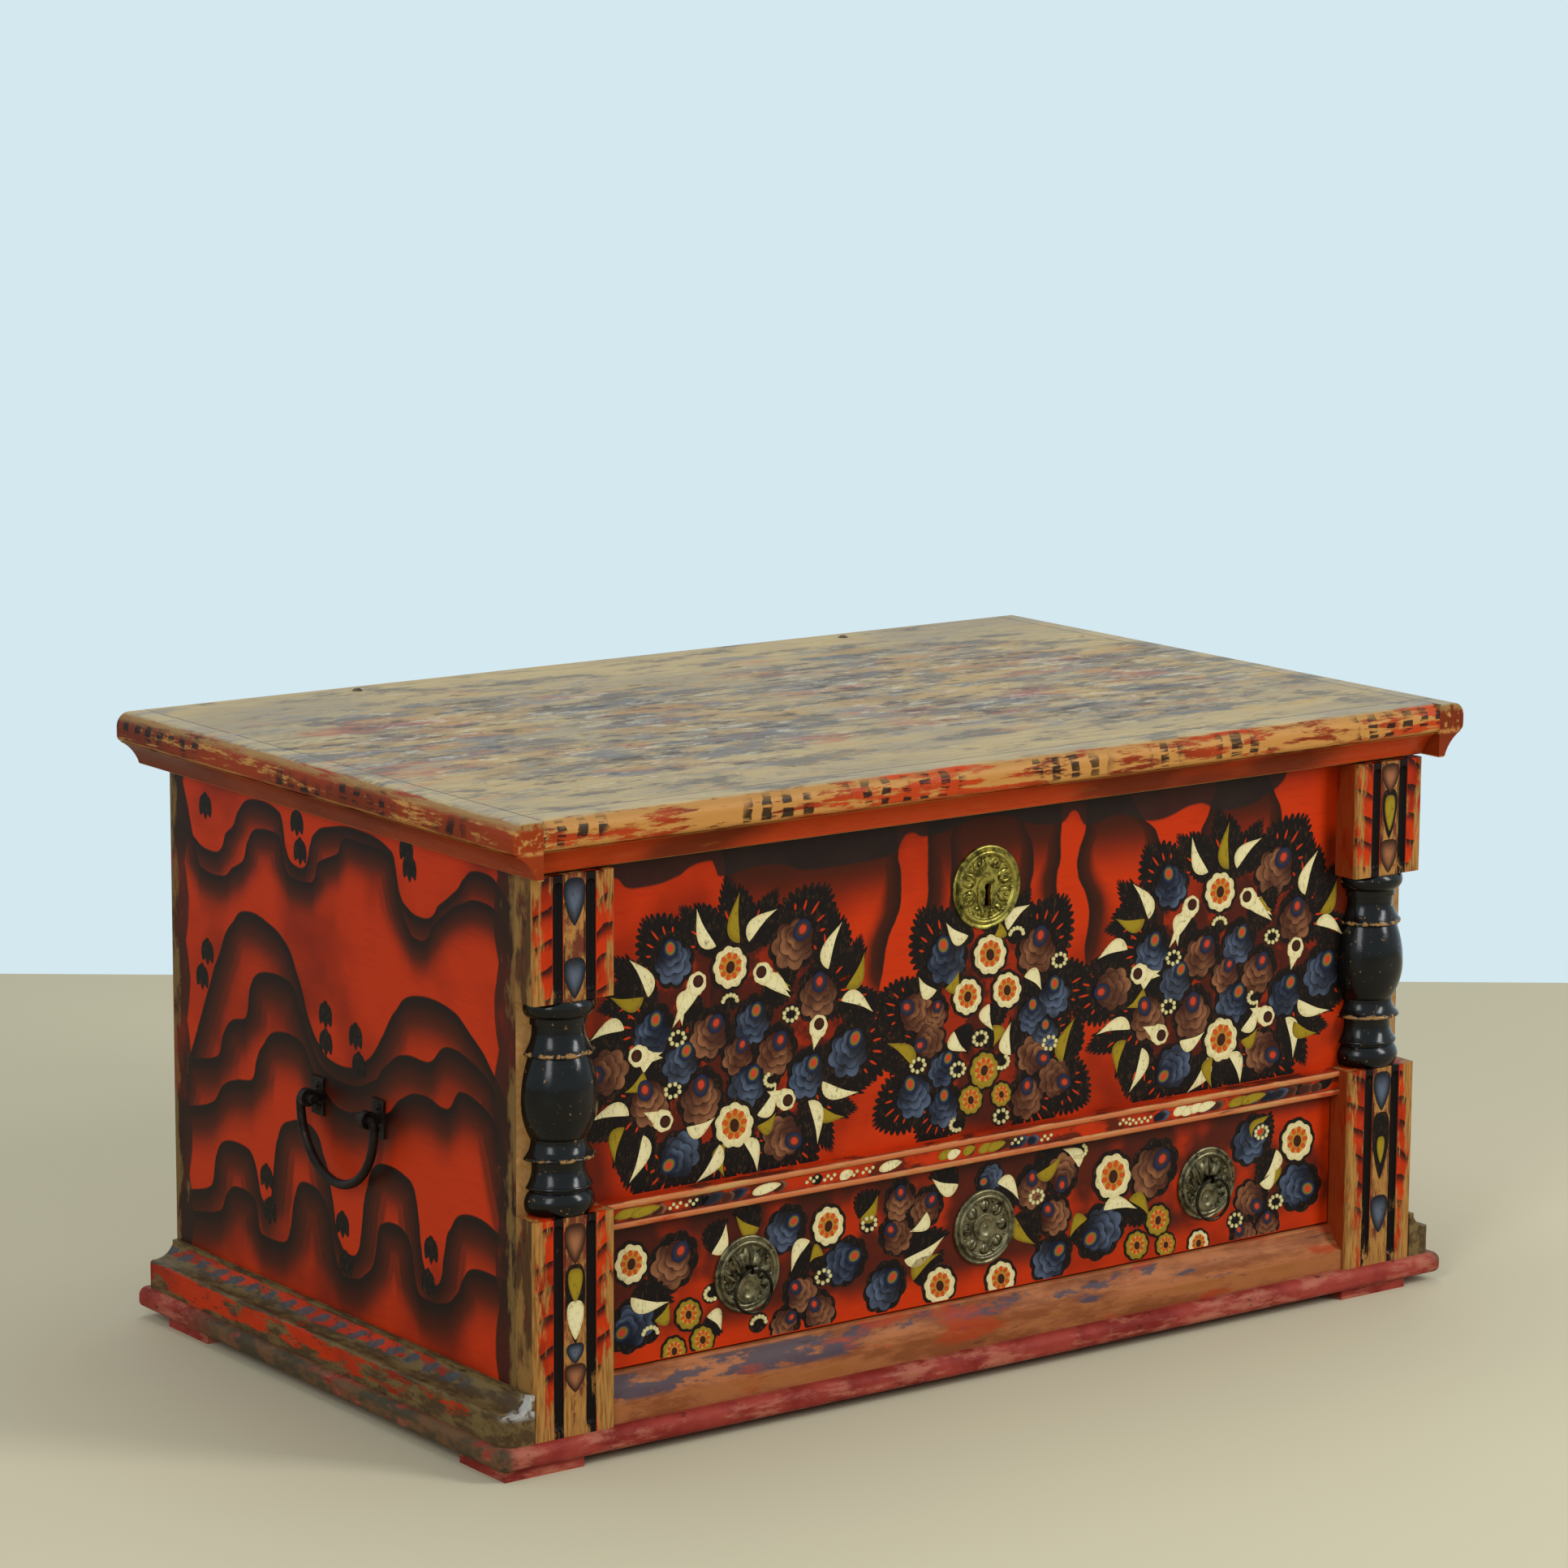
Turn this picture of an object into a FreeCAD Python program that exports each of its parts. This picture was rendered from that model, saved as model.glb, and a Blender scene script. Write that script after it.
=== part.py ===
import FreeCAD, Part
import Sketcher
import math
import os
from types import SimpleNamespace

# A painted dowry chest: a panelled case with half-columns, one long drawer, a hinged lid with run
# mouldings, two drop handles and two ring pulls. Front is -Y, +Z is up, the origin is on the floor
# under the middle of the lid's depth. All lengths are millimetres.

LENGTHS = {
    # Case boards
    "case_width": 1000,
    "case_depth": 571,
    "case_height": 511.5,
    "side_thick": 20,
    "front_thick": 20,
    "back_thick": 20,
    "floor_thick": 12,
    "floor_lift": 4,
    "floor_groove_depth": 6,
    # Base board and feet
    "base_thick": 19,
    "base_side_overhang": 37.5,
    "base_front_overhang": 8,
    "base_back_overhang": 7,
    "base_corner_round": 9,
    "base_top_round": 8,
    "base_low_round": 6,
    "foot_height": 9,
    "foot_width": 80,
    "foot_depth": 70,
    "foot_edge_inset": 6,
    "foot_end_inset": 45,
    # Corner blocks with flutes, and the half-columns between them
    "block_width": 82,
    "block_thick": 28,
    "block_edge_round": 3.5,
    "block_top_gap": 2,
    "flute_radius": 5.5,
    "flute_depth": 4,
    "flute_spacing": 33,
    "flute_end": 11,
    "column_radius": 35.5,
    # Middle rail over the drawer
    "rail_height": 24,
    "rail_proud": 15,
    "rail_reed": 6.5,
    "rail_band_sink": 3,
    # Base mouldings
    "front_moulding_height": 40,
    "front_moulding_proud": 23,
    "front_moulding_face": 18,
    "front_moulding_land": 4,
    "front_moulding_round": 3,
    "side_moulding_height": 42,
    "side_moulding_proud": 29,
    "side_moulding_face": 26,
    "side_moulding_land": 5,
    "side_moulding_bead": 4,
    "side_moulding_round": 3,
    "side_moulding_end_round": 12,
    # Lid
    "lid_seat_gap": 0.5,
    "lid_board_thick": 24,
    "lid_front_overhang": 19,
    "lid_side_overhang": 32,
    "lid_back_overhang": 40,
    "lid_side_clear": 2,
    "lid_front_strip": 32,
    "lid_moulding_height": 50,
    "lid_nose_height": 27,
    "lid_nose_step": 3,
    "lid_nose_top_round": 13,
    "lid_nose_low_round": 6,
    "lid_band_cove": 19,
    "lid_band_round": 3,
    # Drawer and its runners
    "drawer_gap": 2,
    "drawer_slide_gap": 0.5,
    "drawer_proud": 3,
    "drawer_back_room": 54,
    "drawer_front_thick": 20,
    "drawer_side_thick": 12,
    "drawer_side_drop": 16.5,
    "drawer_lap": 10,
    "drawer_bottom_thick": 8,
    "drawer_bottom_lift": 8,
    "drawer_groove_depth": 5,
    "runner_height": 20,
    "runner_ledge": 18,
    "guide_height": 30,
    "guide_thick": 16,
    # Rosettes and ring pulls
    "rosette_radius": 34.5,
    "rosette_rim": 3.4,
    "rosette_floor": 1.6,
    "boss_radius": 13,
    "boss_height": 3.2,
    "eye_rise": 6,
    "eye_reach": 11,
    "eye_stem_radius": 2.6,
    "eye_head_radius": 4,
    "eye_thick": 4.4,
    "ring_radius": 19.4,
    "ring_wire": 1.5,
    "ring_clear": 0.35,
    # Escutcheon and keyhole
    "escutcheon_radius": 38,
    "escutcheon_rim": 2.6,
    "escutcheon_floor": 1.4,
    "escutcheon_drop": 97.5,
    "keyplate_width": 20,
    "keyplate_height": 32,
    "keyplate_rise": 1.4,
    "keyhole_radius": 3.8,
    "keyhole_foot": 8,
    "keyhole_length": 17,
    # Lock
    "lock_width": 110,
    "lock_height": 92,
    "lock_depth": 26,
    "lock_wall": 2,
    "lock_rise": 52,
    "lock_flange": 12,
    "bolt_length": 40,
    "bolt_height": 10,
    "bolt_thick": 5,
    "bolt_drop": 14,
    "bolt_rest_gap": 3,
    "bolt_clear": 0.4,
    "ledge_thick": 3,
    "staple_thick": 5,
    "staple_bar": 3,
    "staple_play": 2,
    "staple_plate_width": 40,
    "staple_plate_thick": 2,
    "staple_slot_clear": 3,
    # Hinges
    "hinge_spacing": 572,
    "knuckle_radius": 5.5,
    "hinge_pin_radius": 2.5,
    "hinge_pin_clear": 0.08,
    "knuckle_length": 20,
    "knuckle_gap": 0.4,
    "leaf_thick": 2.5,
    "case_leaf_height": 55,
    "lid_leaf_depth": 30,
    "rivet_radius": 2.5,
    "rivet_head_radius": 5.5,
    "rivet_head_height": 2,
    "rivet_inset": 14,
    # Drop handles on the sides
    "handle_spread": 100,
    "handle_back_shift": 8,
    "handle_drop": 67.5,
    "handle_bend": 5.5,
    "handle_tip": 13,
    "handle_bar": 4.2,
    "handle_shoulder_gap": 1.5,
    "handle_bore_clear": 0.4,
    "lug_plate_width": 20,
    "lug_plate_height": 34,
    "lug_plate_thick": 2.5,
    "lug_eye_radius": 8,
    "lug_eye_thick": 8,
    "lug_standoff": 13,
    # Forged nails that hold the ironwork
    "nail_radius": 1.6,
    "nail_length": 12,
    "nail_head_radius": 3.4,
    "nail_head_height": 1.6,
    "nail_inset": 7,
    # One overrun serves all cuts that pass right through
    "overrun": 5,
}

# Shares of the front's height from the base board to the top of the upper blocks.
LOWER_BLOCK_SHARE = 0.3946
COLUMN_SHARE = 0.3822

# Where the handles sit up the case, and the outer rosettes across half the drawer's opening.
HANDLE_HEIGHT_SHARE = 0.4536
ROSETTE_SPREAD_SHARE = 0.6292

# Half-column outline from the foot up: share of the radius, share of the height, and how the edge
# to the next corner bends, as radius over chord. Positive bends swell, negative ones are coves.
COLUMN_SHARES = [
    (0.803, 0.000, 0.70),
    (0.803, 0.108, None),
    (0.775, 0.108, None),
    (0.775, 0.119, None),
    (0.840, 0.119, 0.57),
    (0.840, 0.138, -1.36),
    (0.704, 0.238, None),
    (0.704, 0.254, None),
    (0.910, 0.257, 0.55),
    (0.910, 0.273, -1.10),
    (0.732, 0.349, 1.83),
    (1.000, 0.530, 2.85),
    (0.817, 0.727, None),
    (0.800, 0.735, None),
    (0.890, 0.741, 0.55),
    (0.890, 0.759, -1.35),
    (0.693, 0.865, None),
    (0.693, 0.881, None),
    (0.746, 0.884, None),
    (0.746, 0.914, None),
    (0.803, 0.919, 0.63),
    (0.859, 1.000, None),
]

# Rosette face from its rim to its middle: share of the radius, share of the rim's height, bend.
ROSETTE_SHARES = [
    (1.000, 0.00, None),
    (1.000, 0.45, 0.60),
    (0.925, 0.75, None),
    (0.905, 0.60, None),
    (0.885, 0.60, None),
    (0.870, 1.00, 0.55),
    (0.770, 1.00, -0.75),
    (0.700, 0.47, None),
]

# Boss from its edge to its middle: share of the radius, share of the height, bend.
BOSS_SHARES = [
    (1.00, 0.00, None),
    (1.00, 0.70, math.sqrt(0.5)),
    (0.86, 1.00, None),
    (0.60, 1.00, -0.90),
    (0.00, 0.80, None),
]

# Keyhole from its flared foot round to its other side: share of the head's radius across and up.
KEYHOLE_NECK_SHARE = 0.7
KEYHOLE_SHOULDER_SHARE = 0.75
KEYPLATE_DROP_SHARE = 0.33

# Where nails sit across a hinge leaf, as shares of its width.
LEAF_NAIL_SHARES = (-0.36, 0.0, 0.36)

# Bends as shares of the chord: a full reed, an oval's quarter and the coves of the mouldings.
REED_BEND_SHARE = 0.56
OVAL_BEND_SHARE = 0.62
FRONT_COVE_BEND_SHARE = -1.1
SIDE_COVE_BEND_SHARE = -0.95
LID_COVE_BEND_SHARE = -1.4

QUARTER_BEND = math.sqrt(0.5)
PLANES = {"plan": "XY_Plane", "front": "XZ_Plane", "side": "YZ_Plane"}
AXES = {
    "x": FreeCAD.Vector(1, 0, 0),
    "y": FreeCAD.Vector(0, 1, 0),
    "z": FreeCAD.Vector(0, 0, 1),
}

doc = FreeCAD.newDocument("dowry_chest")
pieces = []


class Size:
    """A length that knows its value and the expression that ties it to the sheet."""

    def __init__(self, text, value):
        self.text = text
        self.value = value

    def __add__(self, other):
        return join(self, "+", other, self.value + value_of(other))

    def __sub__(self, other):
        return join(self, "-", other, self.value - value_of(other))

    def __mul__(self, other):
        return join(self, "*", other, self.value * value_of(other))

    def __truediv__(self, other):
        return join(self, "/", other, self.value / value_of(other))

    def __neg__(self):
        return Size("(-%s)" % self.text, -self.value)


def value_of(length):
    return length.value if isinstance(length, Size) else length


def text_of(length):
    return length.text if isinstance(length, Size) else repr(length)


def join(first, sign, second, value):
    return Size("(%s %s %s)" % (text_of(first), sign, text_of(second)), value)


def distance(across, up):
    """The straight distance over two offsets."""
    text = "sqrt(%s * %s + %s * %s)" % (text_of(across), text_of(across), text_of(up), text_of(up))
    return Size(text, math.hypot(value_of(across), value_of(up)))


def make_sheet():
    """Write every driving length into the sheet and return them as named sizes."""
    sheet = doc.addObject("Spreadsheet::Sheet", "Sizes")
    sizes = {}
    for row, (name, value) in enumerate(LENGTHS.items(), start=1):
        sheet.set("A%d" % row, name)
        sheet.set("B%d" % row, str(value))
        sheet.setAlias("B%d" % row, name)
        sizes[name] = Size("Sizes.%s" % name, value)
    doc.recompute()
    return SimpleNamespace(**sizes)


def bind(thing, prop, length):
    thing.setExpression(prop, text_of(length))


def place(thing, x=0, y=0, z=0):
    for axis, length in (("x", x), ("y", y), ("z", z)):
        if isinstance(length, Size):
            bind(thing, "Placement.Base." + axis, length)
    return thing


def keep(thing, label):
    """Give a finished piece its own name."""
    thing.Label = label
    pieces.append(thing)
    return thing


def block(name, x, y, z):
    """A rectangular block between low and high limits on each axis."""
    box = doc.addObject("Part::Box", name)
    bind(box, "Length", x[1] - x[0])
    bind(box, "Width", y[1] - y[0])
    bind(box, "Height", z[1] - z[0])
    return place(box, x[0], y[0], z[0])


def rod(name, axis, start, length, radius):
    """A round bar from a start point along one axis."""
    bar = doc.addObject("Part::Cylinder", name)
    turn = FreeCAD.Rotation(AXES["z"], AXES[axis])
    bar.Placement = FreeCAD.Placement(FreeCAD.Vector(), turn)
    bind(bar, "Radius", radius)
    bind(bar, "Height", length)
    return place(bar, *start)


def fuse(name, shapes):
    whole = doc.addObject("Part::MultiFuse", name)
    whole.Shapes = shapes
    return whole


def common(name, shapes):
    """What two solids share."""
    shared = doc.addObject("Part::MultiCommon", name)
    shared.Shapes = shapes
    return shared


def group(name, shapes):
    """Separate solids that share one node."""
    together = doc.addObject("Part::Compound", name)
    together.Links = shapes
    return together


def cut(name, base, *tools):
    """The base with each tool taken away in turn."""
    for number, tool in enumerate(tools):
        step = doc.addObject("Part::Cut", "%s_cut_%d" % (name, number))
        step.Base = base
        step.Tool = tool
        base = step
    return base


def new_body(name, x=0, y=0, z=0):
    return place(doc.addObject("PartDesign::Body", name), x, y, z)


def sketch_on(body, name, view):
    sketch = body.newObject("Sketcher::SketchObject", name)
    planes = [part for part in body.Origin.OriginFeatures if part.Role == PLANES[view]]
    sketch.AttachmentSupport = (planes[0], [""])
    sketch.MapMode = "FlatFace"
    return sketch


def arc_between(start, end, radius, left):
    """An arc from start to end whose centre lies to the left or right of the way there."""
    across = end[0] - start[0]
    up = end[1] - start[1]
    chord = math.hypot(across, up)
    rise = math.sqrt(max(0, radius ** 2 - chord ** 2 / 4)) * (1 if left else -1)
    centre_u = (start[0] + end[0]) / 2 - rise * up / chord
    centre_v = (start[1] + end[1]) / 2 + rise * across / chord
    first, last = (start, end) if left else (end, start)
    from_angle = math.atan2(first[1] - centre_v, first[0] - centre_u)
    to_angle = math.atan2(last[1] - centre_v, last[0] - centre_u)
    if to_angle < from_angle:
        to_angle += math.tau
    circle = Part.Circle(FreeCAD.Vector(centre_u, centre_v, 0), AXES["z"], radius)
    return Part.ArcOfCircle(circle, from_angle, to_angle)


def hold_point(sketch, edge, end, u, v):
    """Tie one end of an edge to its place, measured from the sketch's origin."""
    for kind, length, axis in (("DistanceX", u, -2), ("DistanceY", v, -1)):
        if isinstance(length, Size):
            limit = Sketcher.Constraint(kind, -1, 1, edge, end, length.value)
            bind(sketch, "Constraints[%d]" % sketch.addConstraint(limit), length)
        else:
            sketch.addConstraint(Sketcher.Constraint("PointOnObject", edge, end, axis))


def outline(body, name, view, corners, facing=1):
    """A closed outline through corners (across, up, bend). Facing -1 mirrors it about the up axis."""
    sketch = sketch_on(body, name, view)
    corners = [(-u if facing < 0 and isinstance(u, Size) else u, v, bend) for u, v, bend in corners]
    spots = [(value_of(u), value_of(v)) for u, v, bend in corners]
    count = len(corners)
    edges = []
    for index, (u, v, bend) in enumerate(corners):
        start = spots[index]
        end = spots[(index + 1) % count]
        if bend is None:
            first = FreeCAD.Vector(start[0], start[1], 0)
            last = FreeCAD.Vector(end[0], end[1], 0)
            edges.append((sketch.addGeometry(Part.LineSegment(first, last)), 1, 2))
            continue
        left = bend * facing > 0
        chord = math.hypot(end[0] - start[0], end[1] - start[1])
        arc = arc_between(start, end, chord * abs(bend), left)
        edges.append((sketch.addGeometry(arc), 1 if left else 2, 2 if left else 1))
    for index, (edge, start_end, last_end) in enumerate(edges):
        following, next_end, unused_end = edges[(index + 1) % count]
        sketch.addConstraint(Sketcher.Constraint("Coincident", edge, last_end, following, next_end))
        u, v, bend = corners[index]
        hold_point(sketch, edge, start_end, u, v)
        if bend is not None:
            next_u, next_v, unused_bend = corners[(index + 1) % count]
            radius = distance(minus(next_u, u), minus(next_v, v)) * abs(bend)
            limit = Sketcher.Constraint("Radius", edge, radius.value)
            bind(sketch, "Constraints[%d]" % sketch.addConstraint(limit), radius)
    return sketch


def minus(first, second):
    """The difference of two sketch lengths, where a bare zero may stand for either."""
    if not isinstance(second, Size):
        return first
    return first - second if isinstance(first, Size) else -second


def shaped(shares, radius, height):
    """Corners of a turned outline from shares of its radius and height."""
    corners = []
    for radius_share, height_share, bend in shares:
        across = radius * radius_share if radius_share else 0
        corners.append((across, height * height_share if height_share else 0, bend))
    return corners


def pad(body, sketch, length):
    feature = body.newObject("PartDesign::Pad", sketch.Name + "_pad")
    feature.Profile = sketch
    bind(feature, "Length", length)
    return feature


def revolve(body, sketch, angle, reverse=False):
    feature = body.newObject("PartDesign::Revolution", sketch.Name + "_turn")
    feature.Profile = sketch
    feature.ReferenceAxis = (sketch, ["V_Axis"])
    feature.Angle = angle
    feature.Reversed = reverse
    return feature


def round_edges(body, base, name, radius, wanted):
    """Round the edges of the last feature that the test picks."""
    doc.recompute()
    names = ["Edge%d" % (n + 1) for n, edge in enumerate(base.Shape.Edges) if wanted(edge.BoundBox)]
    feature = body.newObject("PartDesign::Fillet", name)
    feature.Base = (base, names)
    bind(feature, "Radius", radius)
    return feature


def near(first, second):
    return abs(first - second) < value_of(size.lid_seat_gap)


size = make_sheet()

# Levels and planes that several pieces share
half_case = size.case_width / 2
inner_half = half_case - size.side_thick
opening_half = half_case - size.block_width
lid_half = half_case + size.lid_side_overhang
lid_inner_half = half_case + size.lid_side_clear
whole_depth = size.case_depth + size.block_thick + size.lid_front_overhang + size.lid_back_overhang
lid_front = -whole_depth / 2
lid_back = whole_depth / 2
block_face = lid_front + size.lid_front_overhang
front_face = block_face + size.block_thick
front_inner = front_face + size.front_thick
back_face = lid_back - size.lid_back_overhang
back_inner = back_face - size.back_thick
base_low = size.foot_height
base_top = base_low + size.base_thick
rim = base_top + size.case_height
lid_under = rim + size.lid_seat_gap
lid_top = lid_under + size.lid_board_thick
lid_low = lid_top - size.lid_moulding_height
block_top = lid_low - size.block_top_gap
stack_height = block_top - base_top
column_height = stack_height * COLUMN_SHARE
column_foot = base_top + stack_height * LOWER_BLOCK_SHARE
column_head = column_foot + column_height
opening_top = column_foot - size.rail_height
opening_low = base_top + size.front_moulding_height
drawer_face = front_face - size.drawer_proud
drawer_middle = (opening_low + opening_top) / 2
keyhole_level = rim - size.escutcheon_drop
SIDES = (("left", -1), ("right", 1))


def mirrored(low, high, side):
    """A span on the right, or its mirror on the left."""
    return (low, high) if side > 0 else (-high, -low)


def signed(length, side):
    return length if side > 0 else -length


def make_nail(name, axis, side, x, y, z):
    """A forged nail whose head sits at the point and whose shank runs back along the axis."""
    turn = FreeCAD.Rotation(AXES["z"], AXES[axis] * side)
    head = doc.addObject("Part::Cone", name + "_head")
    head.Placement = FreeCAD.Placement(FreeCAD.Vector(), turn)
    bind(head, "Radius1", size.nail_head_radius)
    bind(head, "Radius2", size.nail_radius)
    bind(head, "Height", size.nail_head_height)
    shank = doc.addObject("Part::Cylinder", name + "_shank")
    shank.Placement = FreeCAD.Placement(FreeCAD.Vector(), turn.multiply(FreeCAD.Rotation(AXES["x"], 180)))
    bind(shank, "Radius", size.nail_radius)
    bind(shank, "Height", size.nail_length)
    return fuse(name, [place(head, x, y, z), place(shank, x, y, z)])


def make_base():
    """The base board with its worn round nose, on four low feet."""
    half = half_case + size.base_side_overhang
    front = block_face - size.base_front_overhang
    back = back_face + size.base_back_overhang
    body = new_body("base_board", z=base_low)
    corner = size.base_corner_round
    corners = [
        (-half, back, None),
        (-half, front + corner, QUARTER_BEND),
        (-half + corner, front, None),
        (half - corner, front, QUARTER_BEND),
        (half, front + corner, None),
        (half, back, None),
    ]
    board = pad(body, outline(body, "base_plan", "plan", corners), size.base_thick)

    def is_nose(box, level):
        flat = near(box.ZMin, level) and near(box.ZMax, level)
        return flat and not near(box.YMin, value_of(back))

    upper = round_edges(body, board, "base_top_nose", size.base_top_round,
                        lambda box: is_nose(box, value_of(size.base_thick)))
    round_edges(body, upper, "base_low_nose", size.base_low_round, lambda box: is_nose(box, 0))
    keep(body, "base_board")
    edge = size.foot_edge_inset
    wide = size.foot_width
    deep = size.foot_depth
    inset = size.foot_end_inset
    spans_x = {
        "left": (-half + edge, -half + edge + wide),
        "right": (half - inset - wide, half - inset),
    }
    spans_y = {
        "front": (front + edge, front + edge + deep),
        "back": (back - inset - deep, back - inset),
    }
    for row, span_y in spans_y.items():
        for side, span_x in spans_x.items():
            label = "foot_%s_%s" % (row, side)
            keep(block(label, span_x, span_y, (0, base_low)), label)


def make_case_nails():
    """All nails of the fixed ironwork, in groups by the board that they go into."""
    nails = {"left": [], "right": [], "back": [], "front": []}
    for side, sign in SIDES:
        for row, middle in (("front", handle_middle - size.handle_spread / 2),
                            ("rear", handle_middle + size.handle_spread / 2)):
            for level, up in (("low", -1), ("high", 1)):
                lift = (size.lug_plate_height / 2 - size.nail_inset) * up
                name = "lug_nail_%s_%s_%s" % (side, row, level)
                outer = signed(half_case + size.lug_plate_thick, sign)
                nails[side].append(make_nail(name, "x", sign, outer, middle, handle_level + lift))
        for number, share in enumerate(LEAF_NAIL_SHARES):
            x = signed(size.hinge_spacing / 2, sign) + size.knuckle_length * 3 * share
            z = hinge_level - size.case_leaf_height + size.nail_inset
            name = "hinge_nail_%s_%d" % (side, number)
            nails["back"].append(make_nail(name, "y", 1, x, back_face + size.leaf_thick, z))
        for level, z in (("low", lock_low + size.nail_inset), ("high", lock_top - size.nail_inset)):
            x = signed(size.lock_width / 2 + size.lock_flange / 2, sign)
            name = "lock_nail_%s_%s" % (side, level)
            nails["front"].append(make_nail(name, "y", 1, x, front_inner + size.lock_wall, z))
    return {board: group("nails_%s" % board, shanks) for board, shanks in nails.items()}


def make_keyhole(name, start, length):
    """The solid of a keyhole: a round head over a flared foot, run along Y from a start plane."""
    body = new_body(name, y=start, z=keyhole_level)
    radius = size.keyhole_radius
    foot = size.keyhole_foot / 2
    drop = size.keyhole_length
    waist = radius * KEYHOLE_NECK_SHARE
    shoulder = radius * KEYHOLE_SHOULDER_SHARE
    corners = [
        (-foot, -drop, None),
        (foot, -drop, None),
        (waist, -shoulder, None),
        (radius, 0, QUARTER_BEND),
        (0, radius, QUARTER_BEND),
        (-radius, 0, None),
        (-waist, -shoulder, None),
    ]
    pad(body, outline(body, name + "_outline", "front", corners), length)
    return body


def make_case(nails):
    """Sides, back, front, drawer opening and the floor of the chest."""
    floor_low = opening_top + size.floor_lift
    floor_span = (floor_low, floor_low + size.floor_thick)
    depth = (front_face, back_face)
    height = (base_top, rim)
    groove_half = inner_half + size.floor_groove_depth
    floor = block("chest_floor", (-groove_half, groove_half), (front_inner, back_inner), floor_span)
    for side, sign in SIDES:
        blank = block("side_%s_blank" % side, mirrored(inner_half, half_case, sign), depth, height)
        keep(cut("side_%s" % side, blank, floor, nails[side]), "side_%s" % side)
        stile = block("stile_%s" % side, mirrored(opening_half, inner_half, sign),
                      (front_face, front_inner), (base_top, opening_top))
        keep(stile, "stile_%s" % side)
        make_runner(side, sign)
    back = block("back_blank", (-inner_half, inner_half), (back_inner, back_face), height)
    keep(cut("back_board", back, nails["back"]), "back_board")
    front = block("front_blank", (-inner_half, inner_half), (front_face, front_inner), (opening_top, rim))
    keyway = make_keyhole("front_keyway", front_inner + size.overrun,
                          size.front_thick + size.overrun * 2)
    keep(cut("front_board", front, keyway, nails["front"]), "front_board")
    rail = block("bottom_rail", (-opening_half, opening_half), (front_face, front_inner),
                 (base_top, opening_low))
    keep(rail, "bottom_rail")
    keep(floor, "chest_floor")


def make_runner(side, sign):
    """A runner under the drawer's side with a guide strip standing on it, fixed to the case side."""
    inner = opening_half - size.runner_ledge
    guide = opening_half + size.guide_thick
    low = opening_low - size.runner_height
    high = opening_low + size.guide_height
    body = new_body("runner_%s" % side, y=back_inner)
    corners = [
        (inner, low, None),
        (inner_half, low, None),
        (inner_half, opening_low, None),
        (guide, opening_low, None),
        (guide, high, None),
        (opening_half, high, None),
        (opening_half, opening_low, None),
        (inner, opening_low, None),
    ]
    section = outline(body, "runner_%s_section" % side, "front", corners, sign)
    pad(body, section, back_inner - front_inner)
    keep(body, "runner_%s" % side)


def make_fluted_block(label, sign, low, high):
    """A corner block with rounded front edges and two stopped flutes."""
    middle = signed(half_case - size.block_width / 2, sign)
    body = new_body(label + "_blank", x=middle, y=front_face, z=low)
    half = size.block_width / 2
    corner = size.block_edge_round
    thick = size.block_thick
    corners = [
        (-half, 0, None),
        (-half, corner - thick, QUARTER_BEND),
        (corner - half, -thick, None),
        (half - corner, -thick, QUARTER_BEND),
        (half, corner - thick, None),
        (half, 0, None),
    ]
    pad(body, outline(body, label + "_plan", "plan", corners), high - low)
    flutes = []
    for name, across in (("first", -1), ("second", 1)):
        x = middle + size.flute_spacing / 2 * across
        y = block_face - size.flute_radius + size.flute_depth
        start = low + size.flute_end
        end = high - size.flute_end
        flutes.append(rod("%s_%s" % (label, name), "z", (x, y, start), end - start, size.flute_radius))
        for tip, z in (("foot", start), ("head", end)):
            ball = doc.addObject("Part::Sphere", "%s_%s_%s" % (label, name, tip))
            bind(ball, "Radius", size.flute_radius)
            flutes.append(place(ball, x, y, z))
    keep(cut(label, body, fuse(label + "_flutes", flutes)), label)


def make_column(label, sign):
    """A split turned column, flat at the back, between the two corner blocks."""
    middle = signed(half_case - size.block_width / 2, sign)
    body = new_body(label, x=middle, y=front_face, z=column_foot)
    corners = [(0, 0, None)] + shaped(COLUMN_SHARES, size.column_radius, column_height)
    corners.append((0, column_height, None))
    revolve(body, outline(body, label + "_outline", "front", corners), 180, reverse=True)
    keep(body, label)


def make_pilasters():
    for side, sign in SIDES:
        make_fluted_block("lower_block_%s" % side, sign, base_top, column_foot)
        make_column("column_%s" % side, sign)
        make_fluted_block("top_block_%s" % side, sign, column_head, block_top)


def make_mid_rail():
    """The rail over the drawer: a flat band between two reeds."""
    body = new_body("mid_rail", x=-opening_half, y=front_face, z=opening_top)
    band = size.rail_proud - size.rail_band_sink
    reed = size.rail_reed
    high = size.rail_height
    corners = [
        (0, 0, None),
        (band, 0, REED_BEND_SHARE),
        (band, reed, None),
        (band, high - reed, REED_BEND_SHARE),
        (band, high, None),
        (0, high, None),
    ]
    pad(body, outline(body, "mid_rail_section", "side", corners, -1), opening_half * 2)
    keep(body, "mid_rail")


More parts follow.
